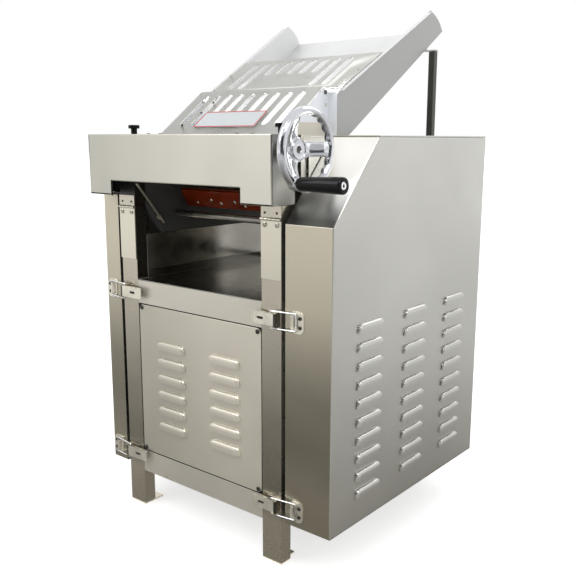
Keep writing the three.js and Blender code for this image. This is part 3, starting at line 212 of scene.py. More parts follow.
def brushed_steel(
        name, colour, roughness, grain, cloud=3.0, contrast=0.1, metallic=1.0, other=None, change=None):
    """Sheet steel: a fine grain along one axis, slow cloudiness in tone and gloss. other gives a second
    colour, its metallic share and a function that says where it is; change alters the base colour."""
    shader = Shader(name)
    clouds = shader.noise(even(cloud), detail=3)
    streaks = shader.noise(grain, detail=3)
    smudges = shader.noise(even(cloud * 6), detail=4, roughness=0.6)
    base = shader.tint(clouds, shade(colour, 1 - contrast), shade(colour, 1 + contrast / 2))
    shader.set(Metallic=metallic)
    if change:
        base = change(shader, base, colour)
    if other:
        second, other_metallic, where = other
        share = where(shader)
        base = shader.mix(share, base, second)
        shader.set(Metallic=shader.spread(share, metallic, other_metallic, 0, 1))
    shader.set(
        Base_Color=base,
        Roughness=shader.spread(smudges, roughness - 0.04, roughness + 0.05),
        Normal=shader.bump(streaks, *BRUSHED),
    )
    return shader.material


def cast_metal(name, colour, roughness, grain, strength, metallic):
    """Cast or turned metal with an even, slightly uneven skin."""
    shader = Shader(name)
    skin = shader.noise(even(grain), detail=4)
    tone = shader.noise(even(grain / 8), detail=2)
    shader.set(
        Base_Color=shader.tint(tone, shade(colour, 0.85), shade(colour, 1.1)),
        Roughness=shader.spread(tone, roughness - 0.03, roughness + 0.07),
        Normal=shader.bump(skin, strength, CAST_DEPTH),
        Metallic=metallic,
    )
    return shader.material


def paint(name, colour, roughness, wear=0.12, specular=0.5):
    """Paint or moulded plastic with fine orange peel and a little dust in the gloss."""
    shader = Shader(name)
    peel = shader.noise(even(900), detail=2)
    tone = shader.noise(even(25), detail=5, roughness=0.65)
    shader.set(
        Base_Color=shader.tint(tone, shade(colour, 1 - wear), shade(colour, 1 + wear)),
        Roughness=shader.spread(tone, roughness - 0.03, roughness + 0.08),
        Normal=shader.bump(peel, *PEEL),
        Specular_IOR_Level=specular,
    )
    return shader.material


# Where a look changes: from and to, as a share of a face's direction or as a height in metres
RIGHTWARD, UPWARD = (0.4, 0.6), (0.4, 0.5)
FORWARD, STRAIGHT_AHEAD = (-0.6, -0.5), (-0.95, -0.9)
LEVEL, LYING = (0.5, 0.8), (0.2, 0.5)
# Heights of the casings' painted light: the slope's painted highlight, the front's painted shade, and where
# that shade eases off at the foot
SLOPE_PAINTED_HIGHLIGHT, CASING_PAINTED_SHADE, CASING_FOOT = (0.710, 0.765), (0.37, 0.54), (0.15, 0.27)
# Heights of the posts' painted shade, and of the painted highlight on the bare leg
POST_PAINTED_SHADE, LEG_PAINTED_HIGHLIGHT = (0.3, 0.55), (0.09, 0.16)
# The tint of the casings' painted warm reflection, and the share of colour kept under the painted shade on a
# look's left part
FRONT_REFLECTION_TINT, LEFT_SHADE = (0.95, 0.885, 0.745), 0.76
# Near-black painted shade, for the posts where they stand in the hood's shade
SHADE_BLACK = (0.006, 0.006, 0.005)


def shaded_leftward(start, end):
    """Painted shade that lessens from left to right: darkened up to the start, full colour from the end."""
    def change(shader, base, colour):
        amount = shader.spread(shader.along("X"), 1, 0, at(start, 0, 0).x, at(end, 0, 0).x)
        return shader.mix(amount, base, shade(colour, LEFT_SHADE))
    return change


def casing_painted_light(shader, base, colour):
    """Painted light on the casing: a painted highlight brightens its sloping face towards its top. Its
    upright front gets a painted warm reflection, and painted shade that darkens it towards its lower half."""
    height = shader.along("Z")
    forward = shader.spread(shader.facing("Y"), 1, 0, *FORWARD)
    upright = shader.spread(shader.facing("Y"), 1, 0, *STRAIGHT_AHEAD)
    upward = shader.spread(shader.facing("Z"), 0, 1, *UPWARD)
    painted_highlight = shader.tint(height, shade(colour, 0.22), shade(colour, 1.55), *SLOPE_PAINTED_HIGHLIGHT)
    front_reflection = tuple(channel * share for channel, share in zip(colour, FRONT_REFLECTION_TINT))
    painted_lower_shade = shader.tint(height, shade(front_reflection, 0.6), front_reflection, *CASING_PAINTED_SHADE)
    front = shader.mix(shader.spread(height, 1, 0, *CASING_FOOT), painted_lower_shade, shade(front_reflection, 0.97))
    sloping = shader.mix(shader.product(forward, upward), base, painted_highlight)
    return shader.mix(upright, sloping, front)


def post_painted_light(shader, base, colour):
    """Painted shade and highlight on a post: darker towards its lower half, and a painted highlight makes it
    brighter again on the bare leg. The left post's face towards the chamber is painted dark as shade."""
    height = shader.along("Z")
    painted_lower_shade = shader.mix(shader.spread(height, 1, 0, *POST_PAINTED_SHADE), base, shade(colour, 0.7))
    with_leg_highlight = shader.mix(shader.spread(height, 1, 0, *LEG_PAINTED_HIGHLIGHT), painted_lower_shade, shade(colour, 1.4))
    inward = shader.product(right_end(shader), shader.beyond("X", 0, above=False))
    chamber_shade = shader.product(inward, shader.beyond("Z", CHAMBER_BOTTOM * MM))
    return shader.mix(chamber_shade, with_leg_highlight, shade(colour, 0.12))


def fold_painted_light(shader, base, colour):
    """The floor's turned-up sides are darker than the floor as painted shade, with a painted highlight on
    their cut edge.
    """
    top = limits("chamber_floor")[1].z - 2
    upright = shader.spread(shader.facing("Z"), 1, 0, *LYING)
    lying = shader.spread(shader.facing("Z"), 0, 1, *LEVEL)
    edge = shader.product(lying, shader.beyond("Z", top * MM))
    return shader.mix(edge, shader.mix(upright, base, shade(colour, 0.48)), shade(colour, 1.5))


def right_end(shader):
    return shader.spread(shader.facing("X"), 0, 1, *RIGHTWARD)


def above_hood_bottom(shader):
    return shader.beyond("Z", HOOD_BOTTOM * MM)


def inside_opening(shader):
    """The cheeks' front parts, which the opening shows."""
    right_of = shader.beyond("X", at(1 - OPEN_HALF, 0, 0).x)
    return shader.product(right_of, shader.beyond("Y", at(0, 100, 0).y, above=False))


def outer_right_shade(shader):
    """The side of the tray's right-hand wall that looks outwards, which takes a darker copy of the tray's
    steel as painted shade.
    """
    return shader.product(right_end(shader), shader.beyond("X", at(150, 0, 0).x))


ALONG_X, ALONG_Z = (12, 1200, 1500), (900, 900, 9)
MIRROR = {
    "colour": (0.62, 0.60, 0.55), "roughness": 0.16, "grain": (300, 8, 300), "cloud": 7, "contrast": 0.25}

look = {
    "post": brushed_steel(
        # Painted shade and highlight by height, and painted shade on the left post's face into the chamber
        "steel_post", (0.56, 0.52, 0.435), 0.28, ALONG_Z, metallic=0.94, change=post_painted_light,
        # Above the hood's bottom edge the posts are near-black, as painted shade inside the hood
        other=(SHADE_BLACK, 0, above_hood_bottom)),
    # The front steel's left part is darkened by painted shade
    "front": brushed_steel(
        "steel_front", (0.615, 0.58, 0.495), 0.34, ALONG_Z, metallic=0.64, change=shaded_leftward(-150, 40)),
    "flap": brushed_steel("steel_flap", (0.73, 0.69, 0.58), 0.36, ALONG_Z),
    "rail": brushed_steel("steel_rail", (0.57, 0.54, 0.47), 0.30, ALONG_X, metallic=0.6),
    # The hood's faces that look right take a darker copy of its steel as painted shade, and its left part is
    # darkened by painted shade
    "hood": brushed_steel(
        "steel_hood", (0.65, 0.635, 0.56), 0.32, ALONG_X, other=((0.25, 0.25, 0.235), 1, right_end),
        change=shaded_leftward(-240, 60)),
    # The side steel carries the casings' painted highlight, painted warm reflection and painted shade
    "side": brushed_steel(
        "steel_side", (0.56, 0.555, 0.525), 0.33, (10, 10, 1100), cloud=2.2, metallic=0.92,
        change=casing_painted_light),
    "guard": brushed_steel("steel_guard", (0.585, 0.583, 0.55), 0.30, (900, 14, 14)),
    "cheek": brushed_steel("steel_cheek", (0.72, 0.742, 0.775), 0.4, (14, 14, 900), metallic=0.3),
    # The tray's steel; the outward side of its right-hand wall is a darker copy of it, as painted shade
    "tray": brushed_steel(
        "steel_tray", (0.62, 0.628, 0.625), 0.42, (600, 12, 12), metallic=0.4,
        other=((0.40, 0.405, 0.395), 1, outer_right_shade)),
    "mirror": brushed_steel("steel_mirror", **MIRROR),
    # The chamber floor's steel, with painted shade on its turned-up sides and a painted highlight on their
    # edge
    "folded": brushed_steel("steel_folded", **MIRROR, change=fold_painted_light),
    "inner": brushed_steel(
        "iron_cheek", (0.09, 0.09, 0.088), 0.5, (200, 200, 200), metallic=0.7,
        other=((0.60, 0.57, 0.48), 1, inside_opening)),
    "turned": cast_metal("steel_turned", (0.50, 0.48, 0.43), 0.26, 700, 0.1, 1.0),
    "drawn": cast_metal("steel_drawn", (0.30, 0.285, 0.255), 0.3, 300, 0.02, 1.0),
    "iron": cast_metal("iron_dark", (0.09, 0.09, 0.088), 0.55, 500, 0.35, 0.7),
    "chrome": cast_metal("wheel_polish", (0.62, 0.63, 0.665), 0.11, 120, 0.12, 1.0),
    "bright": cast_metal("bright_plate", (0.74, 0.70, 0.60), 0.30, 300, 0.08, 0.75),
    "wire": cast_metal("wire_bright", (0.86, 0.87, 0.88), 0.12, 300, 0.05, 1.0),
    "screw": cast_metal("screw_steel", (0.62, 0.60, 0.54), 0.2, 900, 0.1, 1.0),
    "dark_screw": cast_metal("screw_dark", (0.10, 0.095, 0.085), 0.30, 900, 0.1, 0.9),
    # Near-black painted shade for gaps, hollows and the hood's inside
    "recess": paint("painted_shade_dark", (0.012, 0.011, 0.010), 0.6, specular=0.2),
    "dark_paint": paint("paint_dark", (0.035, 0.034, 0.027), 0.42),
    "red_paint": paint("paint_red", (0.11, 0.011, 0.0004), 0.4, wear=0.3, specular=0.15),
    "black": paint("black_gloss", (0.004, 0.004, 0.004), 0.1, specular=0.16),
    "rubber": paint("rubber_black", (0.014, 0.014, 0.014), 0.75, wear=0.25),
    "motor": paint("paint_motor", (0.05, 0.10, 0.15), 0.40),
    "plate": paint("plate_white", (0.52, 0.555, 0.57), 0.3, wear=0.02),
    "red_line": paint("line_red", (0.50, 0.022, 0.016), 0.35, specular=0.2),
}

NODE_LOOK = {
    "post": ("post_front_left", "post_front_right"),
    "rail": ("rail_front_upper", "rail_front_lower"),
    "side": ("deck", "rear_panel", "post_rear_left", "post_rear_right", "rail_rear", "base_shelf"),
    "cheek": ("guard_side_left", "guard_side_right"),
    "tray": ("feed_tray",),
    "mirror": ("inner_wall_left", "inner_wall_right", "back_wall"),
    "folded": ("chamber_floor",),
    "turned": (
        "countershaft", "motor_pulley", "bearing_block_left", "bearing_block_right", "adjusting_shaft"),
    "inner": ("cheek_left", "cheek_right"),
    "iron": ("drive_gear", "link_gear_rear", "link_gear_front", "gap_nut_left", "gap_nut_right"),
    "dark_paint": ("tray_post_left", "tray_post_right"),
    "red_paint": ("scraper_strip",),
    "black": ("power_switch", "cable_gland"),
    "rubber": ("drive_belt",),
    "motor": ("motor",),
}

# Edge radius of the carried-over nodes, in millimetres, where it isn't the sheet's own
EDGE = 0.5
EDGE_OF = {"motor": 2.0, "base_shelf": 1.0, "tray_post_left": 0.8, "tray_post_right": 0.8}
EDGE_ANGLE = 35

# Tubes whose faces aren't merged: merging would turn the faces round their bores over
WHOLE_FACES = ("post_front_left", "post_front_right", "post_rear_left", "post_rear_right")


def bevelled(made, width):
    """Eases an object's sharp edges by a width in millimetres."""
    ease = made.modifiers.new("bevel", "BEVEL")
    ease.width = width * MM
    ease.segments = 2
    ease.limit_method = "ANGLE"
    ease.angle_limit = radians(EDGE_ANGLE)
    ease.harden_normals = True


def dress_nodes():
    """Gives each CAD node its finish, and eases its edges without touching its mesh."""
    for name, members in NODE_LOOK.items():
        for member in members:
            node = nodes[member]
            node.data.materials.clear()
            node.data.materials.append(look[name])
            weld = node.modifiers.new("weld", "WELD")
            weld.merge_threshold = MM / 100
            if member not in WHOLE_FACES:
                flat = node.modifiers.new("flat", "DECIMATE")
                flat.decimate_type = "DISSOLVE"
                flat.angle_limit = radians(1)
            bevelled(node, EDGE_OF.get(member, EDGE))


# Shapes, in the machine's millimetres

# An axis of turning as columns: two directions across it and its own
AXES = {"x": Matrix(((0, 0, 1), (1, 0, 0), (0, 1, 0))), "z": Matrix.Identity(3)}


def span(sign, near, far):
    """Two distances from the middle on the side that sign gives, lowest first."""
    return sorted((sign * near, sign * far))


def on_front(x, up, off):
    """A place at a distance off the machine's front."""
    return Vector((x, -off, up))


def ring(bm, centre, side, other, radii, steps):
    """Points round a centre; radii is one radius, or a function of the angle."""
    made = []
    for step in range(steps):
        angle = 2 * pi * step / steps
        radius = radii(angle) if callable(radii) else radii
        made.append(bm.verts.new(centre + (side * cos(angle) + other * sin(angle)) * radius))
    return made


def bridge(bm, low, high):
    """Faces between two rings of points. A ring of one point is a tip."""
    count = max(len(low), len(high))
    for i in range(count):
        j = (i + 1) % count
        if len(low) == 1:
            bm.faces.new((low[0], high[i], high[j]))
        elif len(high) == 1:
            bm.faces.new((low[i], high[0], low[j]))
        else:
            bm.faces.new((low[i], low[j], high[j], high[i]))


def join_rings(bm, rings, closed=False):
    """A skin over a row of rings: closed on itself, or with both ends filled."""
    for low, high in zip(rings, rings[1:]):
        bridge(bm, low, high)
    if closed:
        bridge(bm, rings[-1], rings[0])
    elif len(rings[0]) > 1:
        bm.faces.new(rings[0])
        bm.faces.new(rings[-1])


def rod(radius, low, high):
    """The profile of a plain cylinder."""
    return (0, low), (radius, low), (radius, high), (0, high)


def lathe(bm, profile, centre, steps, axis="x", closed=False):
    """Turns a profile of (radius, along) pairs about an axis through a centre."""
    side, other, along_axis = AXES[axis].col
    rings = []
    for radius, along in profile:
        place = Vector(centre) + along_axis * along
        if radius == 0:
            rings.append([bm.verts.new(place)])
        else:
            rings.append(ring(bm, place, side, other, radius, steps))
    join_rings(bm, rings, closed)


def tube(bm, route, radius, steps):
    """A round bar along a route, its section carried along without twist."""
    side = None
    rings = []
    for i, point in enumerate(route):
        ahead = (route[min(i + 1, len(route) - 1)] - route[max(i - 1, 0)]).normalized()
        side = ahead.orthogonal() if side is None else side - ahead * side.dot(ahead)
        side.normalize()
        rings.append(ring(bm, point, side, ahead.cross(side), radius, steps))
    join_rings(bm, rings)


def eased(route, radius):
    """The route with its inner corners rounded."""
    steps = 6
    made = [route[0]]
    for before, corner, after in zip(route, route[1:], route[2:]):
        start = corner + (before - corner).normalized() * radius
        end = corner + (after - corner).normalized() * radius
        for step in range(steps + 1):
            share = step / steps
            made.append(start.lerp(corner, share).lerp(corner.lerp(end, share), share))
    return made + [route[-1]]


def slab(bm, across, deep, up):
    """A block from its two ends along x, y and z."""
    low, high = (Vector(corner) for corner in zip(across, deep, up))
    matrix = Matrix.Translation((high + low) / 2) @ Matrix.Diagonal((*(high - low), 1))
    bmesh.ops.create_cube(bm, size=1, matrix=matrix)


def rounded(left, right, low, high, radius, steps=6):
    """A rectangle outline with round corners."""
    corners = ((right, low, -90), (right, high, 0), (left, high, 90), (left, low, 180))
    made = []
    for u, v, start in corners:
        centre_u = u - radius if u == right else u + radius
        centre_v = v - radius if v == high else v + radius
        for step in range(steps + 1):
            angle = radians(start + 90 * step / steps)
            made.append((centre_u + radius * cos(angle), centre_v + radius * sin(angle)))
    return made


def fill(bm, loops, place, off=0):
    """Faces that fill an outline with holes. Returns the points of each loop."""
    points = [[bm.verts.new(place(u, v, off)) for u, v in loop] for loop in loops]
    flat = sum(points, [])
    for corners in tessellate_polygon([[Vector((u, v, 0)) for u, v in loop] for loop in loops]):
        bm.faces.new([flat[i] for i in corners])
    return points


def plate(bm, outline, holes, place, low, high):
    """A flat sheet with holes. place turns (along, up, off) into a point, from off = low to high."""
    loops = [outline, *holes]
    for near, far in zip(fill(bm, loops, place, low), fill(bm, loops, place, high)):
        bridge(bm, near, far)


def on_slope(slope):
    """Places (x, along the slope, off it) on a slope given by its foot and top in (y, z)."""
    foot, top = (Vector((0, *point)) for point in slope)
    along = (top - foot).normalized()
    off = Vector((1, 0, 0)).cross(along)
    return lambda x, up, out: Vector((x, 0, 0)) + foot + along * up + off * out


def slope_angle(slope):
    (foot_y, foot_z), (top_y, top_z) = slope
    return atan2(top_z - foot_z, top_y - foot_y)


def up_slope(slope, y):
    """How far up along a slope the places with this y are."""
    return (y - slope[0][0]) / cos(slope_angle(slope))


# A louvre's grid of points, and the curves of its ends and of its lip
LOUVRE_COLUMNS, LOUVRE_ROWS = 30, 9
END_CURVE, LIP_CURVE, LIP_FALL = 2.2, 5, 0.42


def louvre_hood(bm, centre, bottom, place):
    """A pressed louvre: bulging at its lip, which is open below, and easing into the sheet above and at its
    rounded ends. Returns its outline in the sheet."""
    long, tall, proud, end = (LOUVRE[key] for key in ("long", "tall", "proud", "end"))
    grid, outline = [], []
    for i in range(LOUVRE_COLUMNS + 1):
        across = -cos(pi * i / LOUVRE_COLUMNS) * long / 2
        short = max(0, 1 - (long / 2 - abs(across)) / end)
        swell = (1 - short ** END_CURVE) ** (1 / END_CURVE)
        outline.append((centre + across, bottom + swell * tall))
        column = []
        for j in range(LOUVRE_ROWS + 1):
            rise = sin(pi / 2 * j / LOUVRE_ROWS)
            fall = (1 - rise ** LIP_CURVE) ** LIP_FALL
            height = bottom + rise * swell * tall
            column.append(bm.verts.new(place(centre + across, height, proud * swell * fall)))
        grid.append(column)
    for left, right in zip(grid, grid[1:]):
        for j in range(LOUVRE_ROWS):
            bm.faces.new((left[j], right[j], right[j + 1], left[j + 1]))
    bmesh.ops.remove_doubles(bm, verts=grid[0] + grid[-1], dist=MM / 1000)
    return outline


def louvred_skin(bm, outline, columns, lowest, rows, place):
    """A skin with columns of louvres, without thickness. Returns the outline's points."""
    holes = []
    for centre in columns:
        for row in range(rows):
            bottom = lowest + row * LOUVRE["pitch"] - LOUVRE["drop"]
            holes.append(louvre_hood(bm, centre, bottom, place))
    edge = fill(bm, [outline, *holes], place)[0]
    outward = place(0, 0, 1) - place(0, 0, 0)
    bm.normal_update()
    for face in bm.faces:
        if face.normal.dot(outward) < 0:
            face.normal_flip()
    return edge


# Making pieces

def grow(shapes):
    """A mesh of several shapes, each given as its function and arguments."""
    bm = bmesh.new()
    for make, *arguments in shapes:
        make(bm, *arguments)
    return bm


def finish_mesh(name, bm, finish, sharp=40):
    """Turns a shape in the machine's millimetres into an object in the frame."""
    for vert in bm.verts:
        vert.co = at(*vert.co)
    for face in bm.faces:
        face.smooth = True
    if sharp:
        for edge in bm.edges:
            folds = len(edge.link_faces) != 2 or edge.calc_face_angle(0) > radians(sharp)
            edge.smooth = not folds
    mesh = bpy.data.meshes.new(name)
    bm.to_mesh(mesh)
    bm.free()
    mesh.materials.append(look[finish])
    made = bpy.data.objects.new(name, mesh)
    bpy.context.scene.collection.objects.link(made)
    return made


def settle(made, body, replaces=()):
    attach(made, body)
    if replaces:
        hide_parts(*replaces)


def solid_piece(name, finish, shapes, body="frame", replaces=(), bevel=0.0, sharp=40):
    """A piece from closed solids. With a bevel, its edges are eased by that many millimetres."""
    bm = grow(shapes)
    bmesh.ops.recalc_face_normals(bm, faces=bm.faces)
    made = finish_mesh(name, bm, finish, 0 if bevel else sharp)
    if bevel:
        bevelled(made, bevel)
    settle(made, body, replaces)


def sheet_piece(name, finish, replaces, *skin):
    """A piece of the frame from a turned skin whose normals face out, thickened inwards."""
    made = finish_mesh(name, grow([(turned_skin, *skin)]), finish)
    thick = made.modifiers.new("thick", "SOLIDIFY")
    thick.thickness = SHEET * MM
    thick.offset = -1
    settle(made, "frame", (replaces,))
    return made


# A screw's head from rim to middle, as shares of its radius and height, and its cross recess
HEAD = (
    (1, 0), (1, 0.45), (0.94, 0.72), (0.82, 0.88), (0.68, 0.96), (0.56, 0.99), (0.44, 1), (0.32, 1), (0.2, 1),
    (0.1, 1))
HEAD_STEPS = 36
CROSS_HALF, CROSS_REACH, CROSS_DEEP = 0.13, 0.62, 0.6


def screw_head(bm, centre, facing, radius, tall):
    """A pan head with a cross recess, standing on a face that looks along facing."""
    facing = Vector(facing).normalized()
    side = facing.orthogonal().normalized()
    other = facing.cross(side)
    rings = []
    for share, rise in HEAD:
        made = []
        for step in range(HEAD_STEPS):
            angle = 2 * pi * (step + 0.5) / HEAD_STEPS
            u, v = radius * share * cos(angle), radius * share * sin(angle)
            in_cross = min(abs(u), abs(v)) < radius * CROSS_HALF and share * radius < radius * CROSS_REACH
            height = tall * (rise - (CROSS_DEEP if in_cross else 0))
            made.append(bm.verts.new(Vector(centre) + side * u + other * v + facing * height))
        rings.append(made)
    join_rings(bm, rings)


def make_screws(name, places, facing, radius, tall, finish="screw", body="frame"):
    heads = [(screw_head, place, facing, radius, tall) for place in places]
    solid_piece(name, finish, heads, body, sharp=30)


def slope_screws(name, slope, off, places, *kind):
    """Screws on a sheet whose face is off a slope, at places given in (x, y)."""
    place, angle = on_slope(slope), slope_angle(slope)
    centres = [place(x, up_slope(slope, y), off) for x, y in places]
    make_screws(name, centres, (0, -sin(angle), cos(angle)), *kind)


# Casings and panels: louvred skins with their borders turned back

INNER_CORNER = 0.6
CORNER_STEPS, BEND_STEPS = 5, 4


def bent(points, radius):
    """An outline with its corners rounded, as (place, outward normal) pairs. Inner corners are tighter."""
    corners = [Vector(point) for point in points]
    area = sum(a.x * b.y - b.x * a.y for a, b in zip(corners, corners[1:] + corners[:1]))
    if area < 0:
        corners.reverse()
    made = []
    for i, corner in enumerate(corners):
        before, after = corners[i - 1], corners[(i + 1) % len(corners)]
        come, go = (corner - before).normalized(), (after - corner).normalized()
        turn = atan2(come.x * go.y - come.y * go.x, come.dot(go))
        size = radius if turn > 0 else radius * INNER_CORNER
        start_normal = Vector((come.y, -come.x))
        reach = size * tan(abs(turn) / 2)
        centre = corner - come * reach - start_normal * copysign(size, turn)
        for step in range(CORNER_STEPS + 1):
            angle = turn * step / CORNER_STEPS
            normal = Vector((
                start_normal.x * cos(angle) - start_normal.y * sin(angle),
                start_normal.x * sin(angle) + start_normal.y * cos(angle)))
            made.append((centre + normal * copysign(size, turn), normal))
    return made


def turned_skin(bm, points, corner, edge, depth, place, louvres=((), 0, 0)):
    """A louvred face whose border is turned back to a depth, which may be a function of the place and
    the outward normal. louvres gives the columns' places, the lowest row's and the number of rows."""
    outline = bent(points, corner)
    levels = [(edge + 1, 0)]
    for step in range(BEND_STEPS + 1):
        angle = pi / 2 * step / BEND_STEPS
        levels.append((edge - edge * sin(angle), edge - edge * cos(angle)))
    levels += [(0, edge + 0.4), (0, None)]

    def loop(inset):
        return [tuple(point - normal * inset) for point, normal in outline]

    inner = louvred_skin(bm, loop(levels[0][0]), *louvres, place)
    middle = sum((Vector(point) for point, normal in outline), Vector((0, 0))) / len(outline)
    drops = [depth(*entry) if callable(depth) else depth for entry in outline]
    heart = place(middle.x, middle.y, -max(drops))
    for inset, drop in levels[1:]:
        outer = [
            bm.verts.new(place(u, v, -(least if drop is None else drop)))
            for (u, v), least in zip(loop(inset), drops)]
        known = set(bm.faces)
        bridge(bm, inner, outer)
        for face in set(bm.faces) - known:
            face.normal_update()
            if face.normal.dot(face.calc_center_median() - heart) < 0:
                face.normal_flip()
        inner = outer


def casing_points(side):
    foot_y, foot_z = SLOPE_FOOT[side]
    top_y = foot_y + (CASING_TOP - foot_z) / SLOPE
    points = [
        (0, CASING_BOTTOM), (FRAME_DEEP, CASING_BOTTOM), (FRAME_DEEP, CASING_TOP),
        (top_y, CASING_TOP), (foot_y, foot_z)]
    return points + [(0, foot_z)] if foot_y else points


def make_casings():
    louvres = ((126, 296, 466), CASING_BOTTOM + 68, 10)
    for side, sign in SIDES.items():
        outer = CASING_OUTER[side]

        def place(along, up, off):
            return Vector((sign * (outer + off), along, up))

        sheet_piece(
            f"casing_skin_{side}", "side", f"casing_{side}", casing_points(side), 3, 2.5,
            outer - CASING_INNER, place, louvres)


def make_front_panel():
    low, high = limits("front_panel")
    corner = 12
    points = ((low.x, low.z), (high.x, low.z), (high.x, high.z), (low.x, high.z))
    sheet_piece(
        "front_panel_skin", "front", "front_panel", points, corner, 1, 2.2, on_front,
        ((-81, 81), low.z + 77, 6))
    # A near-black ring in the gap round the panel, as painted shade
    outer, inner = (
        rounded(-high.x - more, high.x + more, low.z - more, high.z + more, radius)
        for more, radius in ((2.3, 1), (0.15, corner)))
    solid_piece("front_panel_gap_shade", "recess", [(plate, outer, [inner], on_front, -1.5, -1)])
    places = [
        (sign * (high.x - 8.5), 0, height) for sign in SIDES.values() for height in (low.z + 7.5, high.z - 7)]
    make_screws("front_panel_screws", places, (0, -1, 0), 5, 2.4, "dark_screw")


# The hood's notch, in (x from, x to, top), and where its closed rear ends
NOTCH = (-211.5, 170, 766)
HOOD_REAR_END = -237.5


def make_hood():
    """The hood as one folded sheet: its front with the notch, top and ends, and a hem round the notch."""
    left, front, low = HOOD_LOW
    right, rear, high = HOOD_HIGH
    notch_left, notch_right, notch_top = NOTCH
    points = (
        (left, low), (notch_left, low), (notch_left, notch_top), (notch_right, notch_top), (notch_right, low),
        (right, low), (right, high), (left, high))

    def depth(point, normal):
        hemmed = normal.y < -0.5 or left + 5 < point.x < right - 5 and normal.y < 0.5
        return 4 if hemmed else HOOD_BACK - front

    made = sheet_piece(
        "hood_sheet", "hood", "hood", points, 1.2, 2.2, depth,
        lambda x, up, off: Vector((x, front - off, up)))
    # Painted shade: the sheet's inner side takes the near-black finish
    made.data.materials.append(look["recess"])
    made.modifiers["thick"].material_offset = 1
    lip = (-CASING_INNER, CASING_INNER), (HOOD_BACK, rear), (high - SHEET, high)
    solid_piece("hood_lip", "hood", [(slab, *lip)], bevel=0.5)
    # The plate closing the hood's back beside the post is near-black, as painted shade inside the hood
    back = (left + SHEET, HOOD_REAR_END), (HOOD_BACK - SHEET, HOOD_BACK), (low, high - SHEET)
    solid_piece("hood_rear", "recess", [(slab, *back)], bevel=0.3)


# The deck's top and its folded front edge, and where the guard's upstands begin
DECK_TOP, DECK_EDGE_BACK = 862.8, 69.6
UPSTAND_FROM = {"left": 150, "right": 80}


def make_deck_edges():
    """Folded edges of the deck beside the hood, and the upstands that the guard's side plates stand in."""
    inner = CASING_INNER - GAP
    for side, sign in SIDES.items():
        edge = span(sign, inner - SHEET, inner), (46, DECK_EDGE_BACK), (849, DECK_TOP)
        solid_piece(f"deck_edge_{side}", "rail", [(slab, *edge)], bevel=0.3)
        upstand = span(sign, 178.1, 179.6), (UPSTAND_FROM[side], 219), (DECK_TOP + GAP, 889)
        solid_piece(f"guard_upstand_{side}", "rail", [(slab, *upstand)], bevel=0.4)
    stay = (239, 240.5), (52, DECK_EDGE_BACK), (742, DECK_TOP)
    solid_piece("deck_stay", "side", [(slab, *stay)], bevel=0.3)


def make_hood_bolts():
    places = [(x, 27, HOOD_HIGH.z) for x in (-165, -126, 140, 98)]
    make_screws("hood_bolts", places, (0, 0, 1), 4, 2.2, "dark_screw")


# Handwheel, grip and knobs

WHEEL_RADIUS, RIM_TALL, RIM_DEEP, RIM_PLANE = 68.6, 7.6, 9, 303
RIM_STEPS, RIM_SECTION = 252, 30
HOLLOWS, HOLLOW_SHARE, HOLLOW_FACING = 21, 0.34, (0.85, 0.53)
SPOKES, SPOKE_STEPS, SPOKE_SECTION, SPOKE_ROOT, SPOKE_PLANE = 3, 14, 24, 10, 277


def wheel_ring(bm):
    """The rim: round in section, with finger hollows on its inner side towards the machine."""
    centre = Vector((RIM_PLANE, *WHEEL_AXIS))
    rings = []
    for i in range(RIM_STEPS):
        angle = 2 * pi * i / RIM_STEPS
        out = Vector((0, cos(angle), sin(angle)))
        hollow = (1 - cos(angle * HOLLOWS)) / 2
        made = []
        for j in range(RIM_SECTION):
            turn = 2 * pi * j / RIM_SECTION
            wave, tide = cos(turn), sin(turn)
            inward = max(0, -HOLLOW_FACING[0] * wave - HOLLOW_FACING[1] * tide) ** 1.5
            share = 1 - HOLLOW_SHARE * hollow * inward
            reach = WHEEL_RADIUS + RIM_TALL * share * wave
            made.append(bm.verts.new(centre + out * reach + Vector((RIM_DEEP * share * tide, 0, 0))))
        rings.append(made)
    join_rings(bm, rings, closed=True)


def squarish(wave):
    """A wave with broader crests, for a section between an oval and a rectangle."""
    return copysign(abs(wave) ** 0.75, wave)


def wheel_spoke(bm, angle):
    """A cast spoke with an oval section, narrow in the middle and flared at both ends."""
    out = Vector((0, cos(angle), sin(angle)))
    aside = Vector((1, 0, 0)).cross(out)
    centre = Vector((0, *WHEEL_AXIS))
    rings = []
    for step in range(SPOKE_STEPS + 1):
        share = step / SPOKE_STEPS
        middle = centre + out * (SPOKE_ROOT + (WHEEL_RADIUS - SPOKE_ROOT) * share)
        wide = 11.6 + 7.5 * (1 - share) ** 3 + 5 * share ** 4
        thick = 4.2 + 1.3 * (2 * share - 1) ** 2
        rise = SPOKE_PLANE + (RIM_PLANE - SPOKE_PLANE) * (share * share * (3 - 2 * share))
        made = []
        for j in range(SPOKE_SECTION):
            turn = 2 * pi * j / SPOKE_SECTION
            u, v = squarish(cos(turn)), squarish(sin(turn))
            made.append(bm.verts.new(middle + aside * wide * u + Vector((rise + thick * v, 0, 0))))
        rings.append(made)
    join_rings(bm, rings)


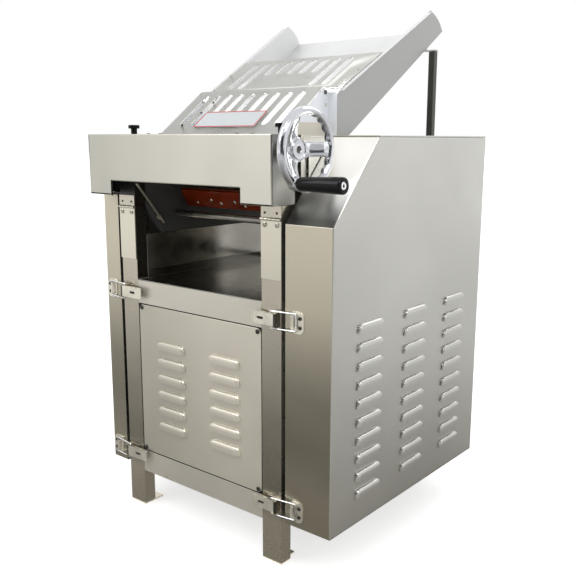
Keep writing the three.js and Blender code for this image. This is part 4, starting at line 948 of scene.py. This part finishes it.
def make_handwheel():
    """The wheel's rim, spokes, hub and grip boss, fused into one casting, and the screw in its hub."""
    hub = (
        (0, 262), (16.2, 262), (17, 263), (17, 270), (22, 276), (22.4, 281), (21.6, 285), (20.4, 286.4),
        (19.8, 283.6), (17.6, 283.6), (17, 286.6), (6.5, 286.6), (6, 285.4), (6, 281), (0, 281))
    boss = ((0, 296), (11, 296), (12.5, 300), (12.5, 309), (11.5, 312.6), (10, 313.6), (0, 313.6))
    spokes = [(wheel_spoke, radians(360 / SPOKES * step)) for step in range(SPOKES)]
    bm = grow([
        (wheel_ring,), *spokes, (lathe, hub, (0, *WHEEL_AXIS), 64), (lathe, boss, (0, *GRIP_AXIS), 48)])
    bmesh.ops.recalc_face_normals(bm, faces=bm.faces)
    made = finish_mesh("handwheel_cast", bm, "chrome", 0)
    fuse = made.modifiers.new("fuse", "REMESH")
    fuse.mode = "VOXEL"
    fuse.voxel_size = 0.9 * MM
    fuse.use_smooth_shade = True
    ease = made.modifiers.new("ease", "SMOOTH")
    ease.factor = 0.5
    ease.iterations = 7
    settle(made, "gap_wheel", ("handwheel",))
    head = ((0, 280.6), (5.4, 280.6), (5.4, 284.6), (4.6, 285.2), (0, 285.2))
    solid_piece("handwheel_screw", "dark_screw", [(lathe, head, (0, *WHEEL_AXIS), 32)], "gap_wheel")


def make_grip():
    place = (314, *GRIP_AXIS)
    handle = (
        (5.4, 0), (9.6, 0), (10.8, 0.6), (11.5, 2), (11.9, 6), (12.4, 16), (13.1, 32), (13.8, 50), (14.5, 70),
        (14.9, 84), (15, 91), (14.7, 94), (13.8, 95.6), (12.4, 96), (8.2, 96), (7.8, 95.4),
        (7.8, 89.5), (5.4, 89.5))
    solid_piece(
        "grip_handle", "black", [(lathe, handle, place, 64, "x", True)], "grip", ("wheel_grip",), sharp=50)
    bolt = (
        (0, 92.2), (2.4, 92.2), (3, 92.6), (3, 94.2), (3.5, 95.2), (6.2, 95.4), (7.1, 94.8), (7.2, 93.4),
        (7.2, 89.8), (4.8, 89.8), (4.8, 1), (0, 1))
    solid_piece("grip_bolt", "wire", [(lathe, bolt, place, 48)], "gap_wheel", sharp=30)
    # A dark hexagon in the bolt's socket, as painted shade
    solid_piece("grip_bolt_socket_shade", "recess", [(lathe, rod(2.9, 92.2, 93.4), place, 6)], "gap_wheel")


KNOB_AT, KNOB_BASE, KNOB_FOOT = (213, 27), 865.3, 838.5
FLUTES, FLUTE_DEEP = 16, 0.7


def fluted(radius):
    return lambda angle: radius - FLUTE_DEEP * (0.5 - 0.5 * cos(angle * FLUTES))


def make_knobs():
    foot = KNOB_FOOT - KNOB_BASE
    top = limits("thumb_knob_right")[1].z - KNOB_BASE
    profile = [
        (0, foot), (3.6, foot), (4, foot + 0.5), (4, 0.3), (6.2, 0.3), (6.8, 0.9), (6.8, 11.2), (7.6, 11.8),
        (fluted(11.4), 12.1), (fluted(12.4), 13.1), (fluted(12.4), 18.4), (11.8, 19.6), (10.6, 20), (6, 20),
        (5.2, 19.5), (0, 19.4)]
    profile = [(radius, min(along, top)) for radius, along in profile]
    for side, sign in SIDES.items():
        node = f"thumb_knob_{side}"
        place = (sign * KNOB_AT[0], KNOB_AT[1], KNOB_BASE)
        solid_piece(f"knob_{side}", "black", [(lathe, profile, place, 96, "z")], node, (node,))


# Guards, label and tray guard

SLOTS, SLOT_PITCH, SLOT_WIDE = 9, 34.7, 17
GUARD_EAR, PIN_END = (172, 176.2), 179.4
TRAY_HALF = {"left": 183, "right": 200, "top": 215, "from": 221}
TRAY_GUARD_ENDS = (236, 378)


def slot_row(low_high):
    """Upright slots side by side; low_high gives the ends of each."""
    made = []
    for i in range(SLOTS):
        centre = (i - SLOTS // 2) * SLOT_PITCH
        made.append(rounded(centre - SLOT_WIDE / 2, centre + SLOT_WIDE / 2, *low_high(i), SLOT_WIDE / 2))
    return made


def make_front_guard():
    length = dist(*GUARD_SLOPE)
    half = limits("front_guard")[1].x - SHEET
    slots = slot_row(lambda i: (0.2 * length, 0.9 * length))
    shapes = [(plate, rounded(-half, half, 0, length, 3, 3), slots, on_slope(GUARD_SLOPE), 0, SHEET)]
    y, z = GUARD_PIVOT
    for sign in SIDES.values():
        ear = span(sign, *GUARD_EAR)
        pin = span(sign, GUARD_EAR[0], PIN_END)
        shapes += [
            (lathe, rod(11.5, *ear), (0, y, z), 40), (slab, ear, (y - 13, y - 1.5), (z, z + 6.5)),
            (lathe, rod(2.9, *pin), (0, y, z), 20)]
    solid_piece("front_guard_plate", "guard", shapes, "guard", ("front_guard",), bevel=0.35)
    places = ((-102.4, 167.3), (-110.3, 136), (-135.5, 100))
    slope_screws("front_guard_screws", GUARD_SLOPE, SHEET, places, 3, 1.8, "dark_screw", "guard")


def make_label():
    place = on_slope(GUARD_SLOPE)
    wide, tall, thick = 179, 56, 0.6
    centre, middle = -4.5, dist(*GUARD_SLOPE) * 0.33
    left, right, low, high = centre - wide / 2, centre + wide / 2, middle - tall / 2, middle + tall / 2
    face = SHEET + GAP + thick
    label = rounded(left, right, low, high, 4)
    solid_piece(
        "guard_label_plate", "plate", [(plate, label, [], place, SHEET + GAP, face)], "guard",
        ("guard_label",), bevel=0.15)
    outer, inner = (
        rounded(left + inset, right - inset, low + inset, high - inset, radius)
        for inset, radius in ((0.6, 3.4), (3.3, 2)))
    line = [(plate, outer, [inner], place, face - 0.05, face + 0.12)]
    solid_piece("guard_label_line", "red_line", line, "guard")


def make_tray_guard():
    near, far = TRAY_GUARD_ENDS
    start, end = (up_slope(TRAY_SLOPE, y) for y in TRAY_GUARD_ENDS)

    def edge(side, y):
        spread = (TRAY_HALF["top"] - TRAY_HALF[side]) / (TRAY_SLOPE[1][0] - TRAY_HALF["from"])
        return SIDES[side] * (TRAY_HALF[side] + (y - TRAY_HALF["from"]) * spread - SHEET)

    def low_high(i):
        low = 0.12 if i < 2 or i > 6 else 0.5
        return start + low * (end - start), start + 0.92 * (end - start)

    outline = [
        (edge("left", near), start), (edge("right", near), start),
        (edge("right", far), end), (edge("left", far), end)]
    shapes = [(plate, outline, slot_row(low_high), on_slope(TRAY_SLOPE), GAP, GAP + SHEET)]
    solid_piece("tray_guard_plate", "guard", shapes, replaces=("tray_guard",), bevel=0.35)
    places = ((-190.5, 317), (192.8, 306.9), (185.7, 242), (-183, 252))
    slope_screws("tray_guard_screws", TRAY_SLOPE, GAP + SHEET, places, 3.4, 2)


def make_side_screws():
    """Screws and the guard's pivot nuts on the outer faces of the guard's side plates."""
    nut = ((0, 178.2), (5.2, 178.2), (5.2, 179.6), (4.4, 180.4), (3, 180.6), (0, 180.6))
    for side, sign in SIDES.items():
        places = [(sign * 178, y, z) for y, z in ((210.5, 925), (212, 884.5))]
        make_screws(f"guard_side_screws_{side}", places, (sign, 0, 0), 3.6, 2)
        profile = [(radius, sign * along) for radius, along in nut]
        shapes = [(lathe, profile, (0, *GUARD_PIVOT), 6)]
        solid_piece(f"pivot_nut_{side}", "dark_screw", shapes, "guard", bevel=0.3)


# Latches and strikes

LATCH_HEIGHT = {"upper": 516, "lower": 131}
LEVER_TIP = {"left": 160, "right": 171}
LEVER_OFF, LEVER_HALF, LEVER_END, BARREL_AT, KNUCKLES = 11, 12.6, 226, 228, 9
BAIL = {"inner": 218, "outer": 275, "half": 17, "end": 12.9, "near": -12.25, "far": -4.5}


def latch_places(side, level):
    """Two functions for places on a latch: (along, up, off the front), and (along, y, up)."""
    sign, height = SIDES[side], LATCH_HEIGHT[level]
    return (
        lambda along, up, off: Vector((sign * along, -off, height + up)),
        lambda along, y, up: Vector((sign * along, y, height + up)))


def make_lever(side, level):
    """A latch's lever with its curled tip, its barrel and a lanced slot."""
    sign, height, tip_x = SIDES[side], LATCH_HEIGHT[level], LEVER_TIP[side]
    front, across = latch_places(side, level)
    body = f"latch_lever_{level}_{side}"
    low, high = -LEVER_HALF, LEVER_HALF
    outline, slot = rounded(tip_x + 1.5, LEVER_END, low, high, 4), rounded(183, 200, -2.6, 2.6, 2.5)
    shapes = [(plate, outline, [slot], front, LEVER_OFF, LEVER_OFF + 2.2)]
    for up in (height + low + 0.6, height + high - 0.6):
        shapes.append((slab, span(sign, tip_x + 12, LEVER_END - 2), (-12.4, -7.6), (up - 0.6, up + 0.6)))
    shoulder = span(sign, LEVER_END - 20, LEVER_END), (-13.6, -9.4), (height + low, height + high)
    solid_piece(
        f"lever_{level}_{side}", "bright", [*shapes, (slab, *shoulder)], body, (body,), bevel=0.5)
    section = [(tip_x + x, y) for x, y in (
        (0.4, -14.8), (0.2, -13.4), (1.4, -11.6), (3.4, -11), (6, -11), (6, -13.2), (3.6, -13.3), (2.4, -14),
        (2, -15.2))]
    tip = [(plate, section, [], across, low + 1.5, high - 1.5)]
    solid_piece(f"lever_tip_{level}_{side}", "bright", tip, body, bevel=0.3)
    step = (high - low) / KNUCKLES
    profile = [(0, low)]
    for i in range(KNUCKLES):
        start = low + (high - low) * i / KNUCKLES
        profile += [(3.5, start + step * 0.12), (3.5, start + step * 0.8), (2.9, start + step * 0.9)]
    profile += [(2.9, high), (0, high)]
    barrel = [(lathe, profile, (sign * BARREL_AT, -LEVER_OFF, height), 28, "z")]
    solid_piece(f"lever_barrel_{level}_{side}", "dark_screw", barrel, body)
    # A near-black plate inside the lanced slot, as painted shade in it
    slot_shade = span(sign, 184, 200), (-11.6, -11.1), (height - 2.4, height + 2.4)
    solid_piece(f"lever_slot_shade_{level}_{side}", "recess", [(slab, *slot_shade)], body, bevel=0.1)


def make_bail(side, level):
    across = latch_places(side, level)[1]
    inner, outer, half, end, near, far = BAIL.values()
    route = [across(*point) for point in (
        (inner, near, end), (inner, near, half), (outer, far, half), (outer, far, -half),
        (inner, near, -half), (inner, near, -end))]
    node = f"latch_bail_{level}_{side}"
    solid_piece(
        f"bail_{level}_{side}", "wire", [(tube, eased(route, 3.4), 1.9, 16)], node, (node,), sharp=50)


def make_strike(side, level):
    front, across = latch_places(side, level)
    hook = [
        (265.2, -1), (265.6, -4), (267.2, -7), (269.6, -8.8), (272.2, -9), (272, -7.6), (270.2, -7.2),
        (268.6, -5.8), (267.8, -3.6), (267.8, -1)]
    shapes = [
        (plate, rounded(259, 291, -22, 22, 11), [], front, 0, SHEET), (plate, hook, [], across, -11.5, 11.5)]
    solid_piece(f"strike_{level}_{side}", "bright", shapes, bevel=0.4)
    places = [across(282.6, -SHEET, up) for up in (-9, 9)]
    make_screws(f"strike_screws_{level}_{side}", places, (0, -1, 0), 4, 2.4, "dark_screw")


def make_latches():
    for side in SIDES:
        for level in LEVELS:
            make_lever(side, level)
            make_bail(side, level)
            make_strike(side, level)


# Flaps on their hinges

FLAP_INNER, FLAP_OUTER, FLAP_BOTTOM, FLAP_TOP, FLAP_FACE = 186, 237, 591, 706, 2.3
HINGE_PIN, HINGE_LEAVES = (-3.5, 707), 5


def make_flaps():
    for side, sign in SIDES.items():
        flap = f"flap_{side}"
        left, right = span(sign, FLAP_INNER, FLAP_OUTER)
        outline = rounded(left, right, FLAP_BOTTOM, FLAP_TOP, 2.5, 3)
        profile = [(0, left + 0.2)]
        for i in range(HINGE_LEAVES):
            start, end = (left + (right - left) * edge / HINGE_LEAVES for edge in (i, i + 1))
            profile += [(2.5, start + 0.3), (3.1, start + 0.7), (3.1, end - 0.7), (2.5, end - 0.3)]
        profile += [(0, right - 0.2)]
        shapes = [(plate, outline, [], on_front, GAP, FLAP_FACE), (lathe, profile, (0, *HINGE_PIN), 24)]
        solid_piece(f"flap_plate_{side}", "flap", shapes, flap, (flap,), bevel=0.4)
        places = [(sign * x, -FLAP_FACE, 696.5) for x in (196, 227)]
        make_screws(f"flap_screws_{side}", places, (0, -1, 0), 5, 2.6, body=flap)
        places = [(sign * x, -2, 719) for x in (196, 226)]
        make_screws(f"leaf_screws_{side}", places, (0, -1, 0), 2.4, 1.2, "dark_screw")


# Rollers, tie bar and strip

ROLLER_HEIGHT = 795
ROLLER_BACK = {"rear": 239, "front": 130}
TIE_BAR_AT = (122, 686)
STRIP_FACING = (0, -0.861, -0.508)


def make_roller(which):
    node = f"roller_{which}"
    low, high = (corner.x for corner in limits(node))
    profile = (
        (0, low), (16.5, low), (17.5, low + 1), (17.5, -183.6), (50.5, -183.6), (52, -182.1),
        (52, 182.1), (50.5, 183.6), (17.5, 183.6), (17.5, high - 1), (16.5, high), (0, high))
    place = (0, ROLLER_BACK[which], ROLLER_HEIGHT)
    solid_piece(
        f"roller_turned_{which}", "mirror", [(lathe, profile, place, 128)], f"{which}_roller", (node,),
        sharp=30)


def make_tie_bar():
    low, high = (corner.x for corner in limits("tie_bar"))
    profile = ((0, low), (7.2, low), (8, low + 0.8), (8, high - 0.8), (7.2, high), (0, high))
    shapes = [(lathe, profile, (0, *TIE_BAR_AT), 48)]
    solid_piece("tie_bar_turned", "drawn", shapes, replaces=("tie_bar",), sharp=30)


def make_strip_screws():
    places = (
        (-144, 152.6, 711), (-96.6, 148.4, 718.8), (-68, 151.8, 712.6), (-24, 148.9, 717.8),
        (4.2, 153.5, 709.5), (52, 149, 717.5), (88, 153, 710.5), (132, 149, 717.5))
    make_screws("strip_screws", places, STRIP_FACING, 4, 2.2)


# Light and floor

def lying(across, deep, height):
    (left, right), (near, far) = across, deep
    return [(left, near, height), (right, near, height), (right, far, height), (left, far, height)]


def standing(first, last, low, high):
    return [(*first, low), (*last, low), (*last, high), (*first, high)]


def stage_flat(name, corners, material, seen=True):
    """A rectangle of the studio. One that isn't seen shows in reflections only."""
    mesh = bpy.data.meshes.new(name)
    mesh.from_pydata(corners, [], [(0, 1, 2, 3)])
    mesh.materials.append(material)
    made = bpy.data.objects.new(name, mesh)
    bpy.context.scene.collection.objects.link(made)
    made.visible_camera = made.visible_shadow = made.visible_diffuse = seen


def make_floor():
    half, glow = 40, 0.62
    shader = Shader("floor_pale")
    tone = shader.tint(shader.noise(even(2)), even(0.56), even(0.6))
    shader.set(Base_Color=tone, Roughness=0.8, Emission_Color=(1, 1, 1, 1), Emission_Strength=glow)
    stage_flat("floor", lying((-half, half), (-half, half), 0), shader.material)


def make_card(name, corners, near, far=None, reach=(0.5, 3.0)):
    """A card that only reflections see. Its strength goes from near to far with the distance from the
    machine."""
    shader = Shader(name)
    shader.tree.nodes.remove(shader.surface)
    away = shader.node("VectorMath", {0: shader.place(even(1))}, "Value", operation="LENGTH")
    tone = shader.tint(shader.spread(away, 0, 1, *reach), near, far or near, 0, 1)
    glow = shader.node("Emission", {"Color": tone}, "Emission")
    output = next(entry for entry in shader.tree.nodes if entry.type == "OUTPUT_MATERIAL")
    shader.tree.links.new(glow, output.inputs["Surface"])
    stage_flat(name, [at(*corner) for corner in corners], shader.material, seen=False)


def make_cards():
    size = 6000
    make_card(
        "dark_floor", lying((-size, size), (-size, size), 3), (0.15, 0.142, 0.122), (0.75, 0.75, 0.74),
        (0.45, 2.6))
    make_card(
        "grey_floor", lying((430, size), (-900, size), 4), (0.28, 0.27, 0.24), (0.80, 0.80, 0.79),
        (0.45, 2.0))
    for step in range(3):
        ends = [radians(-4 - 30 * (step + end)) for end in (0, 1)]
        first, last = ((3600 * cos(angle), 3600 * sin(angle)) for angle in ends)
        make_card(f"dark_room_{step}", standing(first, last, 250, 3000), even(0.07))
    make_card("chamber_glow", standing((-181, 462), (15, 462), 552, 664), (0.5, 0.5, 0.48))
    make_card("streak_light", lying((200, 2600), (-1700, -1000), 3010), even(16))
    make_card("bright_ceiling", lying((-1850, -700), (1350, 2600), 3020), even(1.9))


# Round lamps aimed at the machine: place, size in metres, power
LAMP_AIM = (0, 250, 500)
LAMPS = {
    "key": ((-1500, -2200, 2600), 2.0, 30),
    "fill": ((2600, -600, 1800), 2.4, 10),
    "back": ((600, 2400, 2600), 2.0, 20),
}


def make_lamp(name, place, power, **shape):
    data = bpy.data.lights.new(name, "AREA")
    data.energy = power
    for key, value in shape.items():
        setattr(data, key, value)
    lamp = bpy.data.objects.new(name, data)
    lamp.location = at(*place)
    bpy.context.scene.collection.objects.link(lamp)
    return lamp


def make_lights():
    world = bpy.data.worlds.new("studio")
    bpy.context.scene.world = world
    world.use_nodes = True
    background = world.node_tree.nodes["Background"].inputs
    background["Color"].default_value = (1, 1, 1, 1)
    background["Strength"].default_value = 1.0
    for name, (place, size, power) in LAMPS.items():
        lamp = make_lamp(name, place, power, shape="DISK", size=size)
        lamp.rotation_mode = "QUATERNION"
        lamp.rotation_quaternion = (at(*LAMP_AIM) - lamp.location).to_track_quat("-Z", "Y")
    lamp = make_lamp("under_guard", (0, 300, 975), 0.85, shape="RECTANGLE", size=0.34, size_y=0.16)
    lamp.rotation_euler = (radians(30), 0, 0)
    lamp.visible_camera = lamp.visible_glossy = False
    bpy.context.scene.view_settings.view_transform = "Standard"


make_camera()
dress_nodes()
make_casings()
make_front_panel()
make_hood()
make_deck_edges()
make_hood_bolts()
make_handwheel()
make_grip()
make_knobs()
make_front_guard()
make_label()
make_tray_guard()
make_side_screws()
make_latches()
make_flaps()
for which in ROLLER_BACK:
    make_roller(which)
make_tie_bar()
make_strip_screws()
make_floor()
make_cards()
make_lights()
